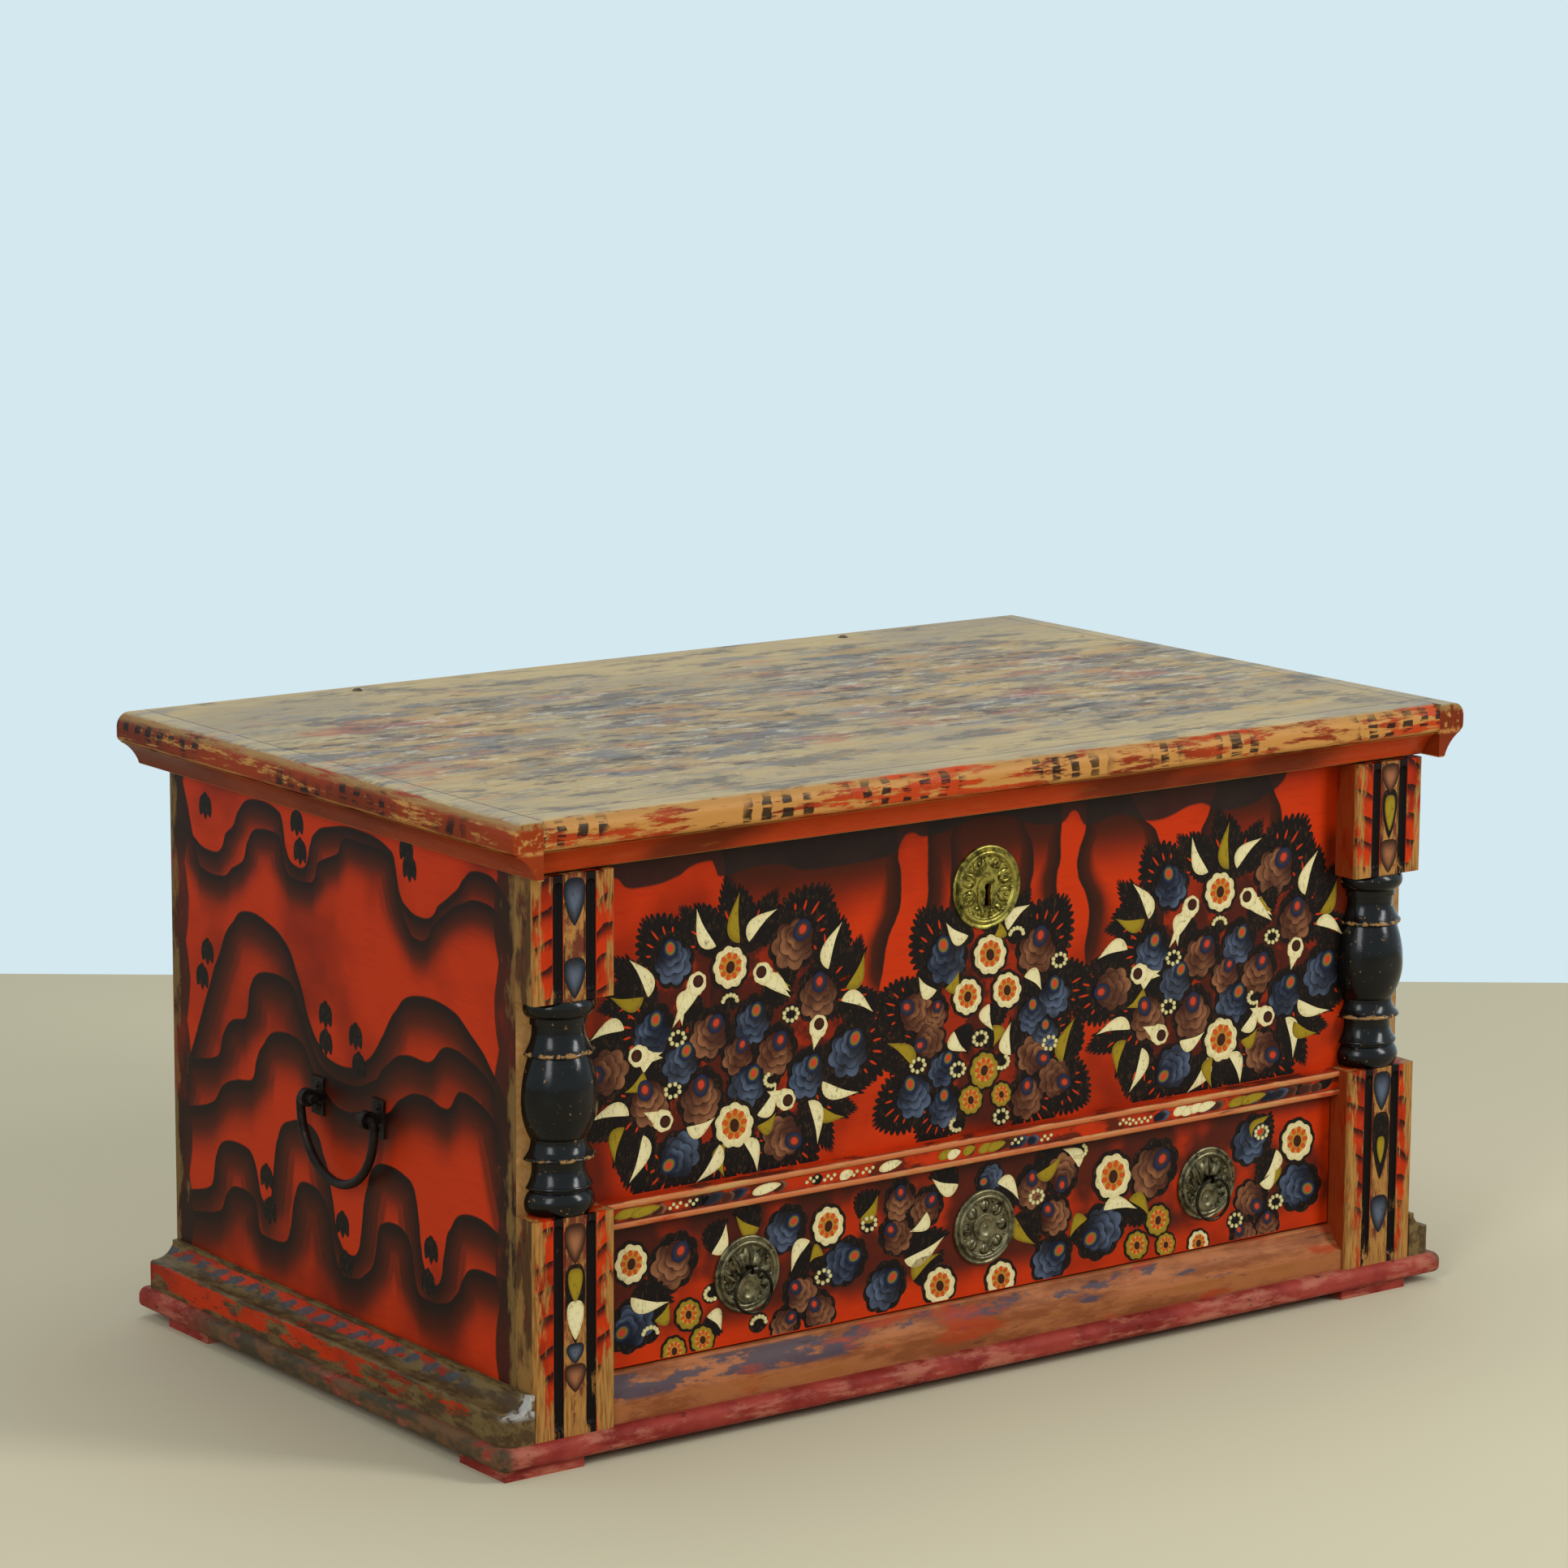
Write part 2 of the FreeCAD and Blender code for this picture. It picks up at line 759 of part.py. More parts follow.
def make_base_mouldings():
    """The cove moulding under the drawer and the side mouldings with rounded front ends."""
    front = new_body("base_moulding_front", x=-opening_half, y=front_face, z=base_top)
    proud = size.front_moulding_proud
    high = size.front_moulding_height
    land = size.front_moulding_land
    turn = size.front_moulding_round
    corners = [
        (0, 0, None),
        (proud, 0, None),
        (proud, size.front_moulding_face, FRONT_COVE_BEND_SHARE),
        (land + turn, high - turn, QUARTER_BEND),
        (land, high, None),
        (0, high, None),
    ]
    pad(front, outline(front, "front_moulding_section", "side", corners, -1), opening_half * 2)
    keep(front, "base_moulding_front")
    proud = size.side_moulding_proud
    high = size.side_moulding_height
    face = size.side_moulding_face
    bead = size.side_moulding_bead
    turn = size.side_moulding_round
    land = size.side_moulding_land
    length = back_face - block_face
    corners = [
        (0, 0, None),
        (proud, 0, None),
        (proud, face - turn, QUARTER_BEND),
        (proud - turn, face, None),
        (proud - turn * 2, face, SIDE_COVE_BEND_SHARE),
        (land, high - bead, None),
        (land, high, None),
        (0, high, None),
    ]
    for side, sign in SIDES:
        label = "base_moulding_%s" % side
        strip = new_body(label + "_strip", x=signed(half_case, sign), y=back_face, z=base_top)
        pad(strip, outline(strip, label + "_section", "front", corners, sign), length)
        plan = new_body(label + "_plan", x=signed(half_case, sign), y=block_face, z=base_top)
        end = size.side_moulding_end_round
        plan_corners = [
            (0, 0, None),
            (proud - end, 0, QUARTER_BEND),
            (proud, end, None),
            (proud, length, None),
            (0, length, None),
        ]
        pad(plan, outline(plan, label + "_plan_outline", "plan", plan_corners, sign), high)
        keep(common(label, [strip, plan]), label)


def lid_section(width):
    """The lid's run moulding: a blunt rounded nose over a cove that runs back to the case."""
    high = size.lid_moulding_height
    band = high - size.lid_nose_height
    neck = width - size.lid_nose_step
    cove = neck - size.lid_band_cove
    top = size.lid_nose_top_round
    low = size.lid_nose_low_round
    turn = size.lid_band_round
    return [
        (0, 0, None),
        (cove - turn, 0, QUARTER_BEND),
        (cove, turn, LID_COVE_BEND_SHARE),
        (neck, band, None),
        (width - low, band, QUARTER_BEND),
        (width, band + low, None),
        (width, high - top, QUARTER_BEND),
        (width - top, high, None),
        (0, high, None),
    ]


def make_lid():
    """Three lid boards with a moulding along the front and one over each end."""
    strip_back = lid_front + size.lid_front_strip
    front = new_body("lid_moulding_front", x=-lid_inner_half, y=strip_back, z=lid_low)
    section = outline(front, "lid_front_section", "side", lid_section(size.lid_front_strip), -1)
    pad(front, section, lid_inner_half * 2)
    keep(front, "lid_moulding_front")
    for side, sign in SIDES:
        label = "lid_moulding_%s" % side
        body = new_body(label, x=signed(lid_inner_half, sign), y=lid_back, z=lid_low)
        corners = lid_section(size.lid_side_overhang - size.lid_side_clear)
        pad(body, outline(body, label + "_section", "front", corners, sign), whole_depth)
        keep(body, label)
    rivets = make_rivets()
    width = (lid_back - strip_back) / 3
    for number, name in enumerate(("front", "middle", "back")):
        span = (strip_back + width * number, strip_back + width * (number + 1))
        label = "lid_board_%s" % name
        board = block(label + "_blank", (-lid_inner_half, lid_inner_half), span, (lid_under, lid_top))
        if name == "back":
            board = cut(label, board, rivets)
        keep(board, label)
    keep(rivets, "hinge_rivets")
    make_hinges(rivets)


def make_rivets():
    """One clenched rivet through the lid at each hinge, with a flat head on top."""
    rivets = []
    for side, sign in SIDES:
        x = signed(size.hinge_spacing / 2, sign)
        y = hinge_line + size.rivet_inset
        low = lid_under - size.leaf_thick
        shank = rod("rivet_%s_shank" % side, "z", (x, y, low), lid_top - low, size.rivet_radius)
        head = doc.addObject("Part::Cone", "rivet_%s_head" % side)
        bind(head, "Radius1", size.rivet_head_radius)
        bind(head, "Radius2", size.rivet_radius)
        bind(head, "Height", size.rivet_head_height)
        rivets.append(fuse("rivet_%s" % side, [shank, place(head, x, y, lid_top)]))
    return group("hinge_rivets", rivets)


def make_hinges(rivets):
    """Two iron butt hinges behind the case: a leaf on the back, a leaf under the lid, and a pin."""
    radius = size.knuckle_radius
    length = size.knuckle_length
    gap = size.knuckle_gap
    pins = []
    for side, sign in SIDES:
        middle = signed(size.hinge_spacing / 2, sign)
        start = middle - length * 3 / 2
        end = middle + length * 3 / 2
        bore = rod("hinge_bore_%s" % side, "x", (start - size.overrun, hinge_line, hinge_level),
                   length * 3 + size.overrun * 2, size.hinge_pin_radius)
        eased = rod("hinge_eased_bore_%s" % side, "x", (start - size.overrun, hinge_line, hinge_level),
                    length * 3 + size.overrun * 2, size.hinge_pin_radius + size.hinge_pin_clear)
        plate_top = hinge_level - radius - gap
        case_leaf = [block("case_plate_%s" % side, (start, end), (back_face, back_face + size.leaf_thick),
                           (hinge_level - size.case_leaf_height, plate_top))]
        for name, left in (("outer", start), ("inner", end - length)):
            ends = (left, left + length)
            case_leaf.append(block("case_neck_%s_%s" % (side, name), ends,
                                   (back_face, back_face + size.leaf_thick), (plate_top, hinge_level)))
            case_leaf.append(rod("case_knuckle_%s_%s" % (side, name), "x",
                                 (left, hinge_line, hinge_level), length, radius))
        label = "hinge_case_leaf_%s" % side
        keep(cut(label, fuse(label + "_blank", case_leaf), bore, nail_groups["back"]), label)
        lid_left = start + length + gap
        lid_right = end - length - gap
        under = (lid_under - size.leaf_thick, lid_under)
        far = hinge_line + size.lid_leaf_depth
        clear_line = hinge_line + radius + gap
        lid_leaf = [
            block("lid_plate_%s" % side, (start, end), (clear_line, far), under),
            block("lid_neck_%s" % side, (lid_left, lid_right), (hinge_line, clear_line), under),
            rod("lid_knuckle_%s" % side, "x", (lid_left, hinge_line, hinge_level),
                lid_right - lid_left, radius),
        ]
        label = "hinge_lid_leaf_%s" % side
        keep(cut(label, fuse(label + "_blank", lid_leaf), eased, rivets), label)
        pins.append(rod("hinge_pin_%s" % side, "x", (start, hinge_line, hinge_level), length * 3,
                        size.hinge_pin_radius))
    keep(group("hinge_pins", pins), "hinge_pins")


def make_lock():
    """The lock behind the escutcheon: a tray with a bolt, and the staple that hangs from the lid."""
    half = size.lock_width / 2
    wall = size.lock_wall
    lock_back = front_inner + size.lock_depth
    depth = (front_inner, lock_back)
    shell = block("lock_shell", (-half, half), depth, (lock_low, lock_top))
    hollow = block("lock_hollow", (wall - half, half - wall),
                   (front_inner - size.overrun, lock_back - wall), (lock_low + wall, lock_top - wall))
    slot_half = size.staple_thick / 2 + size.staple_slot_clear
    slot = block("staple_slot", (-slot_half, slot_half),
                 (front_inner - size.overrun, lock_back - wall),
                 (lock_top - wall - size.overrun, lock_top + size.overrun))
    solids = []
    for side, sign in SIDES:
        ears = mirrored(half, half + size.lock_flange, sign)
        solids.append(block("lock_ear_%s" % side, ears, (front_inner, front_inner + wall),
                            (lock_low, lock_top)))
    bolt_middle = front_inner + (size.lock_depth - wall) / 2
    bolt_top = lock_top - wall - size.bolt_drop
    bolt_low = bolt_top - size.bolt_height
    bolt_end = -size.staple_thick / 2 - size.bolt_rest_gap
    bolt_start = bolt_end - size.bolt_length
    clear = size.bolt_clear
    for name, z in (("upper", (bolt_top + clear, bolt_top + clear + size.ledge_thick)),
                    ("lower", (bolt_low - clear - size.ledge_thick, bolt_low - clear))):
        solids.append(block("bolt_ledge_" + name, (wall - half, bolt_end - size.bolt_rest_gap),
                            (bolt_middle - size.bolt_thick / 2, lock_back - wall), z))
    tray = cut("lock_tray", shell, hollow, slot)
    keep(cut("lock_case", fuse("lock_blank", [tray] + solids), nail_groups["front"]), "lock_case")
    bolt_span = (bolt_middle - size.bolt_thick / 2, bolt_middle + size.bolt_thick / 2)
    keep(block("lock_bolt", (bolt_start, bolt_end), bolt_span, (bolt_low, bolt_top)), "lock_bolt")
    play = size.staple_play
    bar = size.staple_bar
    loop_half = size.bolt_thick / 2 + play + bar
    thick = (-size.staple_thick / 2, size.staple_thick / 2)
    loop = block("staple_loop", thick, (bolt_middle - loop_half, bolt_middle + loop_half),
                 (bolt_low - play - bar, lid_under))
    window = block("staple_window", (-size.staple_thick, size.staple_thick),
                   (bolt_middle - loop_half + bar, bolt_middle + loop_half - bar),
                   (bolt_low - play, bolt_top + play))
    plate_half = size.staple_plate_width / 2
    plate = block("staple_plate", (-plate_half, plate_half),
                  (front_inner + size.staple_slot_clear, bolt_middle + loop_half),
                  (lid_under - size.staple_plate_thick, lid_under))
    keep(fuse("lid_staple", [cut("staple_eye", loop, window), plate]), "lid_staple")


def make_escutcheon():
    """A round plate with a stepped rim and a raised oval round the keyhole."""
    body = new_body("escutcheon_disc", y=front_face, z=keyhole_level)
    radius = size.escutcheon_radius
    corners = [(0, 0, None)] + shaped(ROSETTE_SHARES, radius, size.escutcheon_rim)
    corners.append((0, size.escutcheon_floor, None))
    revolve(body, outline(body, "escutcheon_outline", "front", corners), 360)
    face_forward(body)
    oval = new_body("keyplate", y=front_face - size.escutcheon_floor / 2, z=keyhole_level)
    half = size.keyplate_width / 2
    tall = size.keyplate_height / 2
    drop = size.keyhole_length * KEYPLATE_DROP_SHARE
    corners = [
        (0, -tall - drop, OVAL_BEND_SHARE),
        (half, -drop, OVAL_BEND_SHARE),
        (0, tall - drop, OVAL_BEND_SHARE),
        (-half, -drop, OVAL_BEND_SHARE),
    ]
    pad(oval, outline(oval, "keyplate_outline", "front", corners),
        size.escutcheon_floor / 2 + size.keyplate_rise)
    through = make_keyhole("escutcheon_keyway", front_face + size.overrun,
                           size.escutcheon_rim + size.keyplate_rise + size.overrun * 2)
    keep(cut("escutcheon", fuse("escutcheon_blank", [body, oval]), through), "escutcheon")


def face_forward(body):
    """Turn a piece that was revolved about its height so that its face looks to the front."""
    place_now = body.Placement
    body.Placement = FreeCAD.Placement(place_now.Base, FreeCAD.Rotation(AXES["x"], 90))


def make_rosette(label, x):
    """A stamped rosette: stepped rim, sunk floor, and a low boss for the ring to rest on."""
    body = new_body(label + "_disc", x=x, y=drawer_face, z=drawer_middle)
    corners = [(0, 0, None)] + shaped(ROSETTE_SHARES, size.rosette_radius, size.rosette_rim)
    corners.append((0, size.rosette_floor, None))
    revolve(body, outline(body, label + "_outline", "front", corners), 360)
    face_forward(body)
    return body


def make_boss(label, x, z):
    """A low turned button, dished a little in the middle."""
    body = new_body(label, x=x, y=drawer_face, z=z)
    corners = [(0, 0, None)] + shaped(BOSS_SHARES, size.boss_radius, size.boss_height)
    revolve(body, outline(body, label + "_outline", "front", corners), 360)
    face_forward(body)
    return body


def make_pulls():
    """Three rosettes on the drawer front; the outer two carry a ring in an eye."""
    eye_level = drawer_middle + size.eye_rise
    eye_line = drawer_face - size.eye_reach
    bore_radius = size.ring_wire + size.ring_clear
    eyes = []
    for side, sign in SIDES:
        x = signed(opening_half * ROSETTE_SPREAD_SHARE, sign)
        disc = make_rosette("rosette_%s" % side, x)
        boss = make_boss("boss_%s" % side, x, eye_level - size.ring_radius)
        stem = rod("eye_stem_%s" % side, "y", (x, eye_line, eye_level), size.eye_reach, size.eye_stem_radius)
        head = rod("eye_head_%s" % side, "x", (x - size.eye_thick / 2, eye_line, eye_level),
                   size.eye_thick, size.eye_head_radius)
        bore = rod("eye_bore_%s" % side, "x", (x - size.eye_thick, eye_line, eye_level),
                   size.eye_thick * 2, bore_radius)
        eye = cut("pull_eye_%s" % side, fuse("eye_blank_%s" % side, [stem, head]), bore)
        eyes.append(eye)
        label = "rosette_%s" % side
        keep(cut(label, fuse(label + "_blank", [disc, boss]), stem), label)
        ring = doc.addObject("Part::Torus", "ring_%s" % side)
        ring.Placement = FreeCAD.Placement(FreeCAD.Vector(), FreeCAD.Rotation(AXES["x"], 90))
        bind(ring, "Radius1", size.ring_radius)
        bind(ring, "Radius2", size.ring_wire)
        keep(place(ring, x, eye_line, eye_level - size.ring_radius), "ring_%s" % side)
    disc = make_rosette("rosette_centre", 0)
    keep(fuse("rosette_centre", [disc, make_boss("boss_centre", 0, drawer_middle)]), "rosette_centre")
    keep(group("pull_eyes", eyes), "pull_eyes")


def make_drawer():
    """A lapped drawer box with its bottom in grooves."""
    half = opening_half - size.drawer_gap
    side_inner = half - size.drawer_side_thick
    front_back = drawer_face + size.drawer_front_thick
    lap_line = front_back - size.drawer_lap
    far = back_inner - size.drawer_back_room
    back_line = far - size.drawer_side_thick
    low = opening_low + size.drawer_slide_gap
    side_height = (low, opening_top - size.drawer_side_drop)
    groove_low = low + size.drawer_bottom_lift
    groove = size.drawer_groove_depth
    bottom = block("drawer_bottom", (-side_inner - groove, side_inner + groove),
                   (front_back - groove, back_line + groove),
                   (groove_low, groove_low + size.drawer_bottom_thick))
    sides = []
    for side, sign in SIDES:
        blank = block("drawer_%s_blank" % side, mirrored(side_inner, half, sign), (lap_line, far),
                      side_height)
        sides.append(blank)
        keep(cut("drawer_side_%s" % side, blank, bottom), "drawer_side_%s" % side)
    front = block("drawer_front_blank", (-half, half), (drawer_face, front_back),
                  (opening_low + size.drawer_gap, opening_top - size.drawer_gap))
    keep(cut("drawer_front", front, sides[0], sides[1], bottom), "drawer_front")
    back = block("drawer_back_blank", (-side_inner, side_inner), (back_line, far), side_height)
    keep(cut("drawer_back", back, bottom), "drawer_back")
    keep(bottom, "drawer_bottom")


def make_handles():
    """A forged drop handle on each side, hung in two eyed plates."""
    for side, sign in SIDES:
        line = signed(half_case + size.lug_standoff, sign)
        lugs = []
        for name, way in (("front", -1), ("rear", 1)):
            middle = handle_middle + size.handle_spread / 2 * way
            plate_x = mirrored(half_case, half_case + size.lug_plate_thick, sign)
            neck_x = mirrored(half_case, half_case + size.lug_standoff, sign)
            eye_y = (middle - size.lug_eye_thick / 2, middle + size.lug_eye_thick / 2)
            half_wide = size.lug_plate_width / 2
            half_tall = size.lug_plate_height / 2
            part = "%s_%s" % (side, name)
            plate = block("lug_plate_" + part, plate_x, (middle - half_wide, middle + half_wide),
                          (handle_level - half_tall, handle_level + half_tall))
            neck = block("lug_neck_" + part, neck_x, eye_y,
                         (handle_level - size.lug_eye_radius / 2, handle_level + size.lug_eye_radius / 2))
            eye = rod("lug_eye_" + part, "y", (line, eye_y[0], handle_level), size.lug_eye_thick,
                      size.lug_eye_radius)
            bore = rod("lug_bore_" + part, "y", (line, eye_y[0] - size.overrun, handle_level),
                       size.lug_eye_thick + size.overrun * 2, size.handle_bar + size.handle_bore_clear)
            blank = fuse("lug_blank_" + part, [plate, neck, eye])
            lugs.append(cut("lug_" + part, blank, bore, nail_groups[side]))
        keep(group("handle_lugs_%s" % side, lugs), "handle_lugs_%s" % side)
        make_bail("handle_%s" % side, line)


def make_bail(label, line):
    """The drop handle: a round bar bent to a wide bow, its ends turned in through the eyes."""
    body = new_body(label, x=line, y=handle_middle, z=handle_level)
    bend = size.handle_bend
    eye = size.handle_spread / 2
    turn_line = eye + size.lug_eye_thick / 2 + size.handle_shoulder_gap
    arm = turn_line + bend
    tip = eye - size.handle_tip
    deep = size.handle_drop - arm
    route = sketch_on(body, label + "_route", "side")
    stops = [
        (-tip, 0, None),
        (-turn_line, 0, QUARTER_BEND),
        (-arm, -bend, None),
        (-arm, -deep, QUARTER_BEND),
        (0, -size.handle_drop, QUARTER_BEND),
        (arm, -deep, None),
        (arm, -bend, QUARTER_BEND),
        (turn_line, 0, None),
        (tip, 0, None),
    ]
    draw_route(route, stops)
    section = sketch_on(body, label + "_section", "front")
    section.setExpression("AttachmentOffset.Base.z", text_of(tip))
    circle = Part.Circle(FreeCAD.Vector(), AXES["z"], value_of(size.handle_bar))
    ring = section.addGeometry(circle)
    section.addConstraint(Sketcher.Constraint("Coincident", ring, 3, -1, 1))
    limit = Sketcher.Constraint("Radius", ring, value_of(size.handle_bar))
    bind(section, "Constraints[%d]" % section.addConstraint(limit), size.handle_bar)
    doc.recompute()
    pipe = body.newObject("PartDesign::AdditivePipe", label + "_pipe")
    pipe.Profile = section
    pipe.Spine = (route, ["Edge%d" % (n + 1) for n in range(len(stops) - 1)])
    keep(body, label)


def draw_route(sketch, stops):
    """An open run of lines and arcs through the stops, in the same form as an outline."""
    spots = [(value_of(u), value_of(v)) for u, v, bend in stops]
    last_edge = None
    for index, (u, v, bend) in enumerate(stops[:-1]):
        start = spots[index]
        end = spots[index + 1]
        if bend is None:
            first = FreeCAD.Vector(start[0], start[1], 0)
            edge = sketch.addGeometry(Part.LineSegment(first, FreeCAD.Vector(end[0], end[1], 0)))
            near_end, far_end = 1, 2
        else:
            chord = math.hypot(end[0] - start[0], end[1] - start[1])
            edge = sketch.addGeometry(arc_between(start, end, chord * abs(bend), bend > 0))
            near_end, far_end = (1, 2) if bend > 0 else (2, 1)
            next_u, next_v, unused_bend = stops[index + 1]
            radius = distance(minus(next_u, u), minus(next_v, v)) * abs(bend)
            limit = Sketcher.Constraint("Radius", edge, radius.value)
            bind(sketch, "Constraints[%d]" % sketch.addConstraint(limit), radius)
        hold_point(sketch, edge, near_end, u, v)
        if last_edge is not None:
            tie = Sketcher.Constraint("Coincident", last_edge[0], last_edge[1], edge, near_end)
            sketch.addConstraint(tie)
        last_edge = (edge, far_end)
    hold_point(sketch, last_edge[0], last_edge[1], stops[-1][0], stops[-1][1])


def write_parts():
    """Check every object and every piece, then write one file for each piece."""
    doc.recompute()
    for thing in doc.Objects:
        if "Invalid" in thing.State or "Error" in thing.State:
            raise RuntimeError("failed feature: %s %s" % (thing.Name, thing.State))
    for piece in pieces:
        shape = piece.Shape
        if shape.isNull() or not shape.isValid() or not shape.Solids:
            raise RuntimeError("bad shape: %s" % piece.Label)
    os.makedirs("parts", exist_ok=True)
    for piece in pieces:
        piece.Shape.exportStep(os.path.join("parts", piece.Label + ".step"))
    print("pieces written:", len(pieces))


hinge_line = back_face + size.knuckle_radius
hinge_level = lid_under - size.knuckle_radius
lock_top = keyhole_level + size.lock_rise
lock_low = lock_top - size.lock_height
handle_level = base_top + size.case_height * HANDLE_HEIGHT_SHARE
handle_middle = (block_face + back_face) / 2 - size.handle_back_shift

nail_groups = make_case_nails()
make_base()
make_case(nail_groups)
make_pilasters()
make_mid_rail()
make_base_mouldings()
make_lid()
make_lock()
make_escutcheon()
make_drawer()
make_pulls()
make_handles()
keep(group("iron_nails", list(nail_groups.values())), "iron_nails")
write_parts()
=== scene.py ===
import math
import random

import bmesh
import bpy
from bpy.props import FloatProperty, FloatVectorProperty, PointerProperty
from mathutils import Matrix, Vector


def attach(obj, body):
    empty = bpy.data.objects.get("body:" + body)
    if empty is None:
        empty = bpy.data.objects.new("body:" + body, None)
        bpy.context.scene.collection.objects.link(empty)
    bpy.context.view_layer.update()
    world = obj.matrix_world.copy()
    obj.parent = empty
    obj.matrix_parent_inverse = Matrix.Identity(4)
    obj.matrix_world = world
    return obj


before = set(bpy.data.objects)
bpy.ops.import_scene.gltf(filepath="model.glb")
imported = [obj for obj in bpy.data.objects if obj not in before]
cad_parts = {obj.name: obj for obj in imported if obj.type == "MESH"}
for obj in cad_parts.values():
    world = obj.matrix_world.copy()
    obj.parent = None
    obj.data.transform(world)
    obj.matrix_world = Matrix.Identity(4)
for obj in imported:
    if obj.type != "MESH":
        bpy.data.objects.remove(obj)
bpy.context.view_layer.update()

bl_info = {
    "name": "Painted dowry chest",
    "version": (1, 0, 0),
    "blender": (4, 5, 0),
    "location": "View3D > Sidebar > Chest",
    "description": "Paints, carves and lights the dowry chest around its fixed construction",
    "category": "Object",
}

MM = 0.001


def corners_of(name):
    """Lowest and highest corner of a construction piece, to a hundredth of a millimetre."""
    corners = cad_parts[name].bound_box
    return [[round(pick(corner[axis] for corner in corners) / MM, 2) for axis in range(3)]
            for pick in (min, max)]


# Planes and levels of the construction that the paint follows, in millimetres.
FRONT_FACE = corners_of("front_board")[0][1]
BACK_FACE = corners_of("back_board")[1][1]
DRAWER_FACE = corners_of("drawer_front")[0][1]
BLOCK_FACE = corners_of("top_block_right")[0][1]
SIDE_FACE = corners_of("side_right")[1][0]
LID_TOP = corners_of("lid_board_front")[1][2]
LID_LOW = corners_of("lid_moulding_front")[0][2]
SIDE_MIDDLE = (FRONT_FACE + BACK_FACE) / 2
BLOCK_MIDDLE = (corners_of("top_block_right")[0][0] + SIDE_FACE) / 2
KEY_LEVEL = sum(corner[2] for corner in corners_of("escutcheon")) / 2
# The rail's painted band lies between its reeds, this far in front of the front board.
BAND_FACE = FRONT_FACE - 12
# How deep the paint of a board's face goes in, and where bare wood is reached.
PAINT_SKIN, SKIN_END = 0.6, 1.0


def shade(red, green, blue):
    """A paint colour given in the 0 to 255 steps of a colour card, as Blender's linear colour."""
    steps = [value / 255 for value in (red, green, blue)]
    return tuple(s / 12.92 if s <= 0.04045 else ((s + 0.055) / 1.055) ** 2.4 for s in steps)


def colour(name, text, *steps):
    """A paint of the panel."""
    return FloatVectorProperty(name=name, description=text, subtype="COLOR", size=3, min=0, max=1,
                               default=shade(*steps))


def length(name, text, millimetres):
    """A size of the panel."""
    return FloatProperty(name=name, description=text, unit="LENGTH", min=0, precision=5,
                         default=millimetres * MM)


class ChestColours(bpy.types.PropertyGroup):
    """The paints and metals of the chest."""
    red: colour("Red", "Ground colour of the painted boards", 188, 48, 5)
    deep_red: colour("Deep red", "Red where the ground is thin or shaded", 130, 29, 4)
    brown: colour("Brown", "Half tone of the clouds and hangings", 62, 23, 10)
    black: colour("Black", "Paint of the cloud edges, leaf shadows and flutes", 17, 12, 11)
    cream: colour("Cream", "Daisies, buds and pale leaves", 220, 209, 160)
    olive: colour("Olive", "Yellow-green leaves and small daisies", 148, 124, 26)
    blue: colour("Blue", "Shadow side of the blue roses", 15, 19, 33)
    pale_blue: colour("Pale blue", "Petal rims of the blue roses", 88, 102, 126)
    plum: colour("Plum", "Shadow side of the brown roses", 58, 24, 16)
    rose: colour("Rose", "Petal rims of the brown roses", 154, 102, 68)
    orange: colour("Orange", "Dots and rings of the daisies", 196, 74, 26)
    ochre: colour("Ochre", "Bare wood along worn edges", 158, 112, 58)
    pine: colour("Pine", "Unpainted boards inside the chest", 176, 132, 82)
    tan: colour("Tan", "Worn top of the lid", 178, 158, 114)
    crimson: colour("Crimson", "Base board and feet", 146, 56, 46)
    iron: colour("Iron", "Handles, hinges and nails", 44, 36, 31)
    bronze: colour("Bronze", "Rosettes and rings of the drawer", 120, 112, 84)
    brass: colour("Brass", "Key plate", 156, 144, 70)
    floor: colour("Floor", "Studio floor", 200, 193, 164)
    wall: colour("Wall", "Pale background behind the chest", 212, 232, 240)


class ChestSizes(bpy.types.PropertyGroup):
    """Sizes of the painted and chased ornament."""
    paint_build: length("Paint build", "Depth of a stroke of paint, down into the board", 1.2)
    stroke_step: length("Stroke step", "How much higher each later stroke lies", 0.0025)
    bead: length("Bead", "Radius of the small cream dots", 2.1)
    leaf_width: length("Leaf width", "Belly of a pale leaf", 12.5)
    cloud_fade: length("Cloud fade", "Depth over which a cloud edge fades into the ground", 64)
    chasing: length("Chasing", "Height of the chased leaves on rosettes and key plate", 1.3)


def colour_of(paint):
    """A paint as a node takes it. Names are of the panel and triples are steps of a colour card."""
    if isinstance(paint, str):
        return (*getattr(bpy.context.scene.chest_colours, paint), 1.0)
    return (*shade(*paint), 1.0) if isinstance(paint, tuple) else paint


def size_of(name):
    """A size of the panel, in metres."""
    return getattr(bpy.context.scene.chest_sizes, name)


class Wire:
    """A value or colour on its way through a material; sums on it add nodes."""

    def __init__(self, paint, socket):
        self.paint, self.socket = paint, socket

    def __add__(self, other):
        return self.paint.math("ADD", self, other)

    def __sub__(self, other):
        return self.paint.math("SUBTRACT", self, other)

    def __rsub__(self, other):
        return self.paint.math("SUBTRACT", other, self)

    def __mul__(self, other):
        return self.paint.math("MULTIPLY", self, other)

    def __truediv__(self, other):
        return self.paint.math("DIVIDE", self, other)

    def __abs__(self):
        return self.paint.math("ABSOLUTE", self)


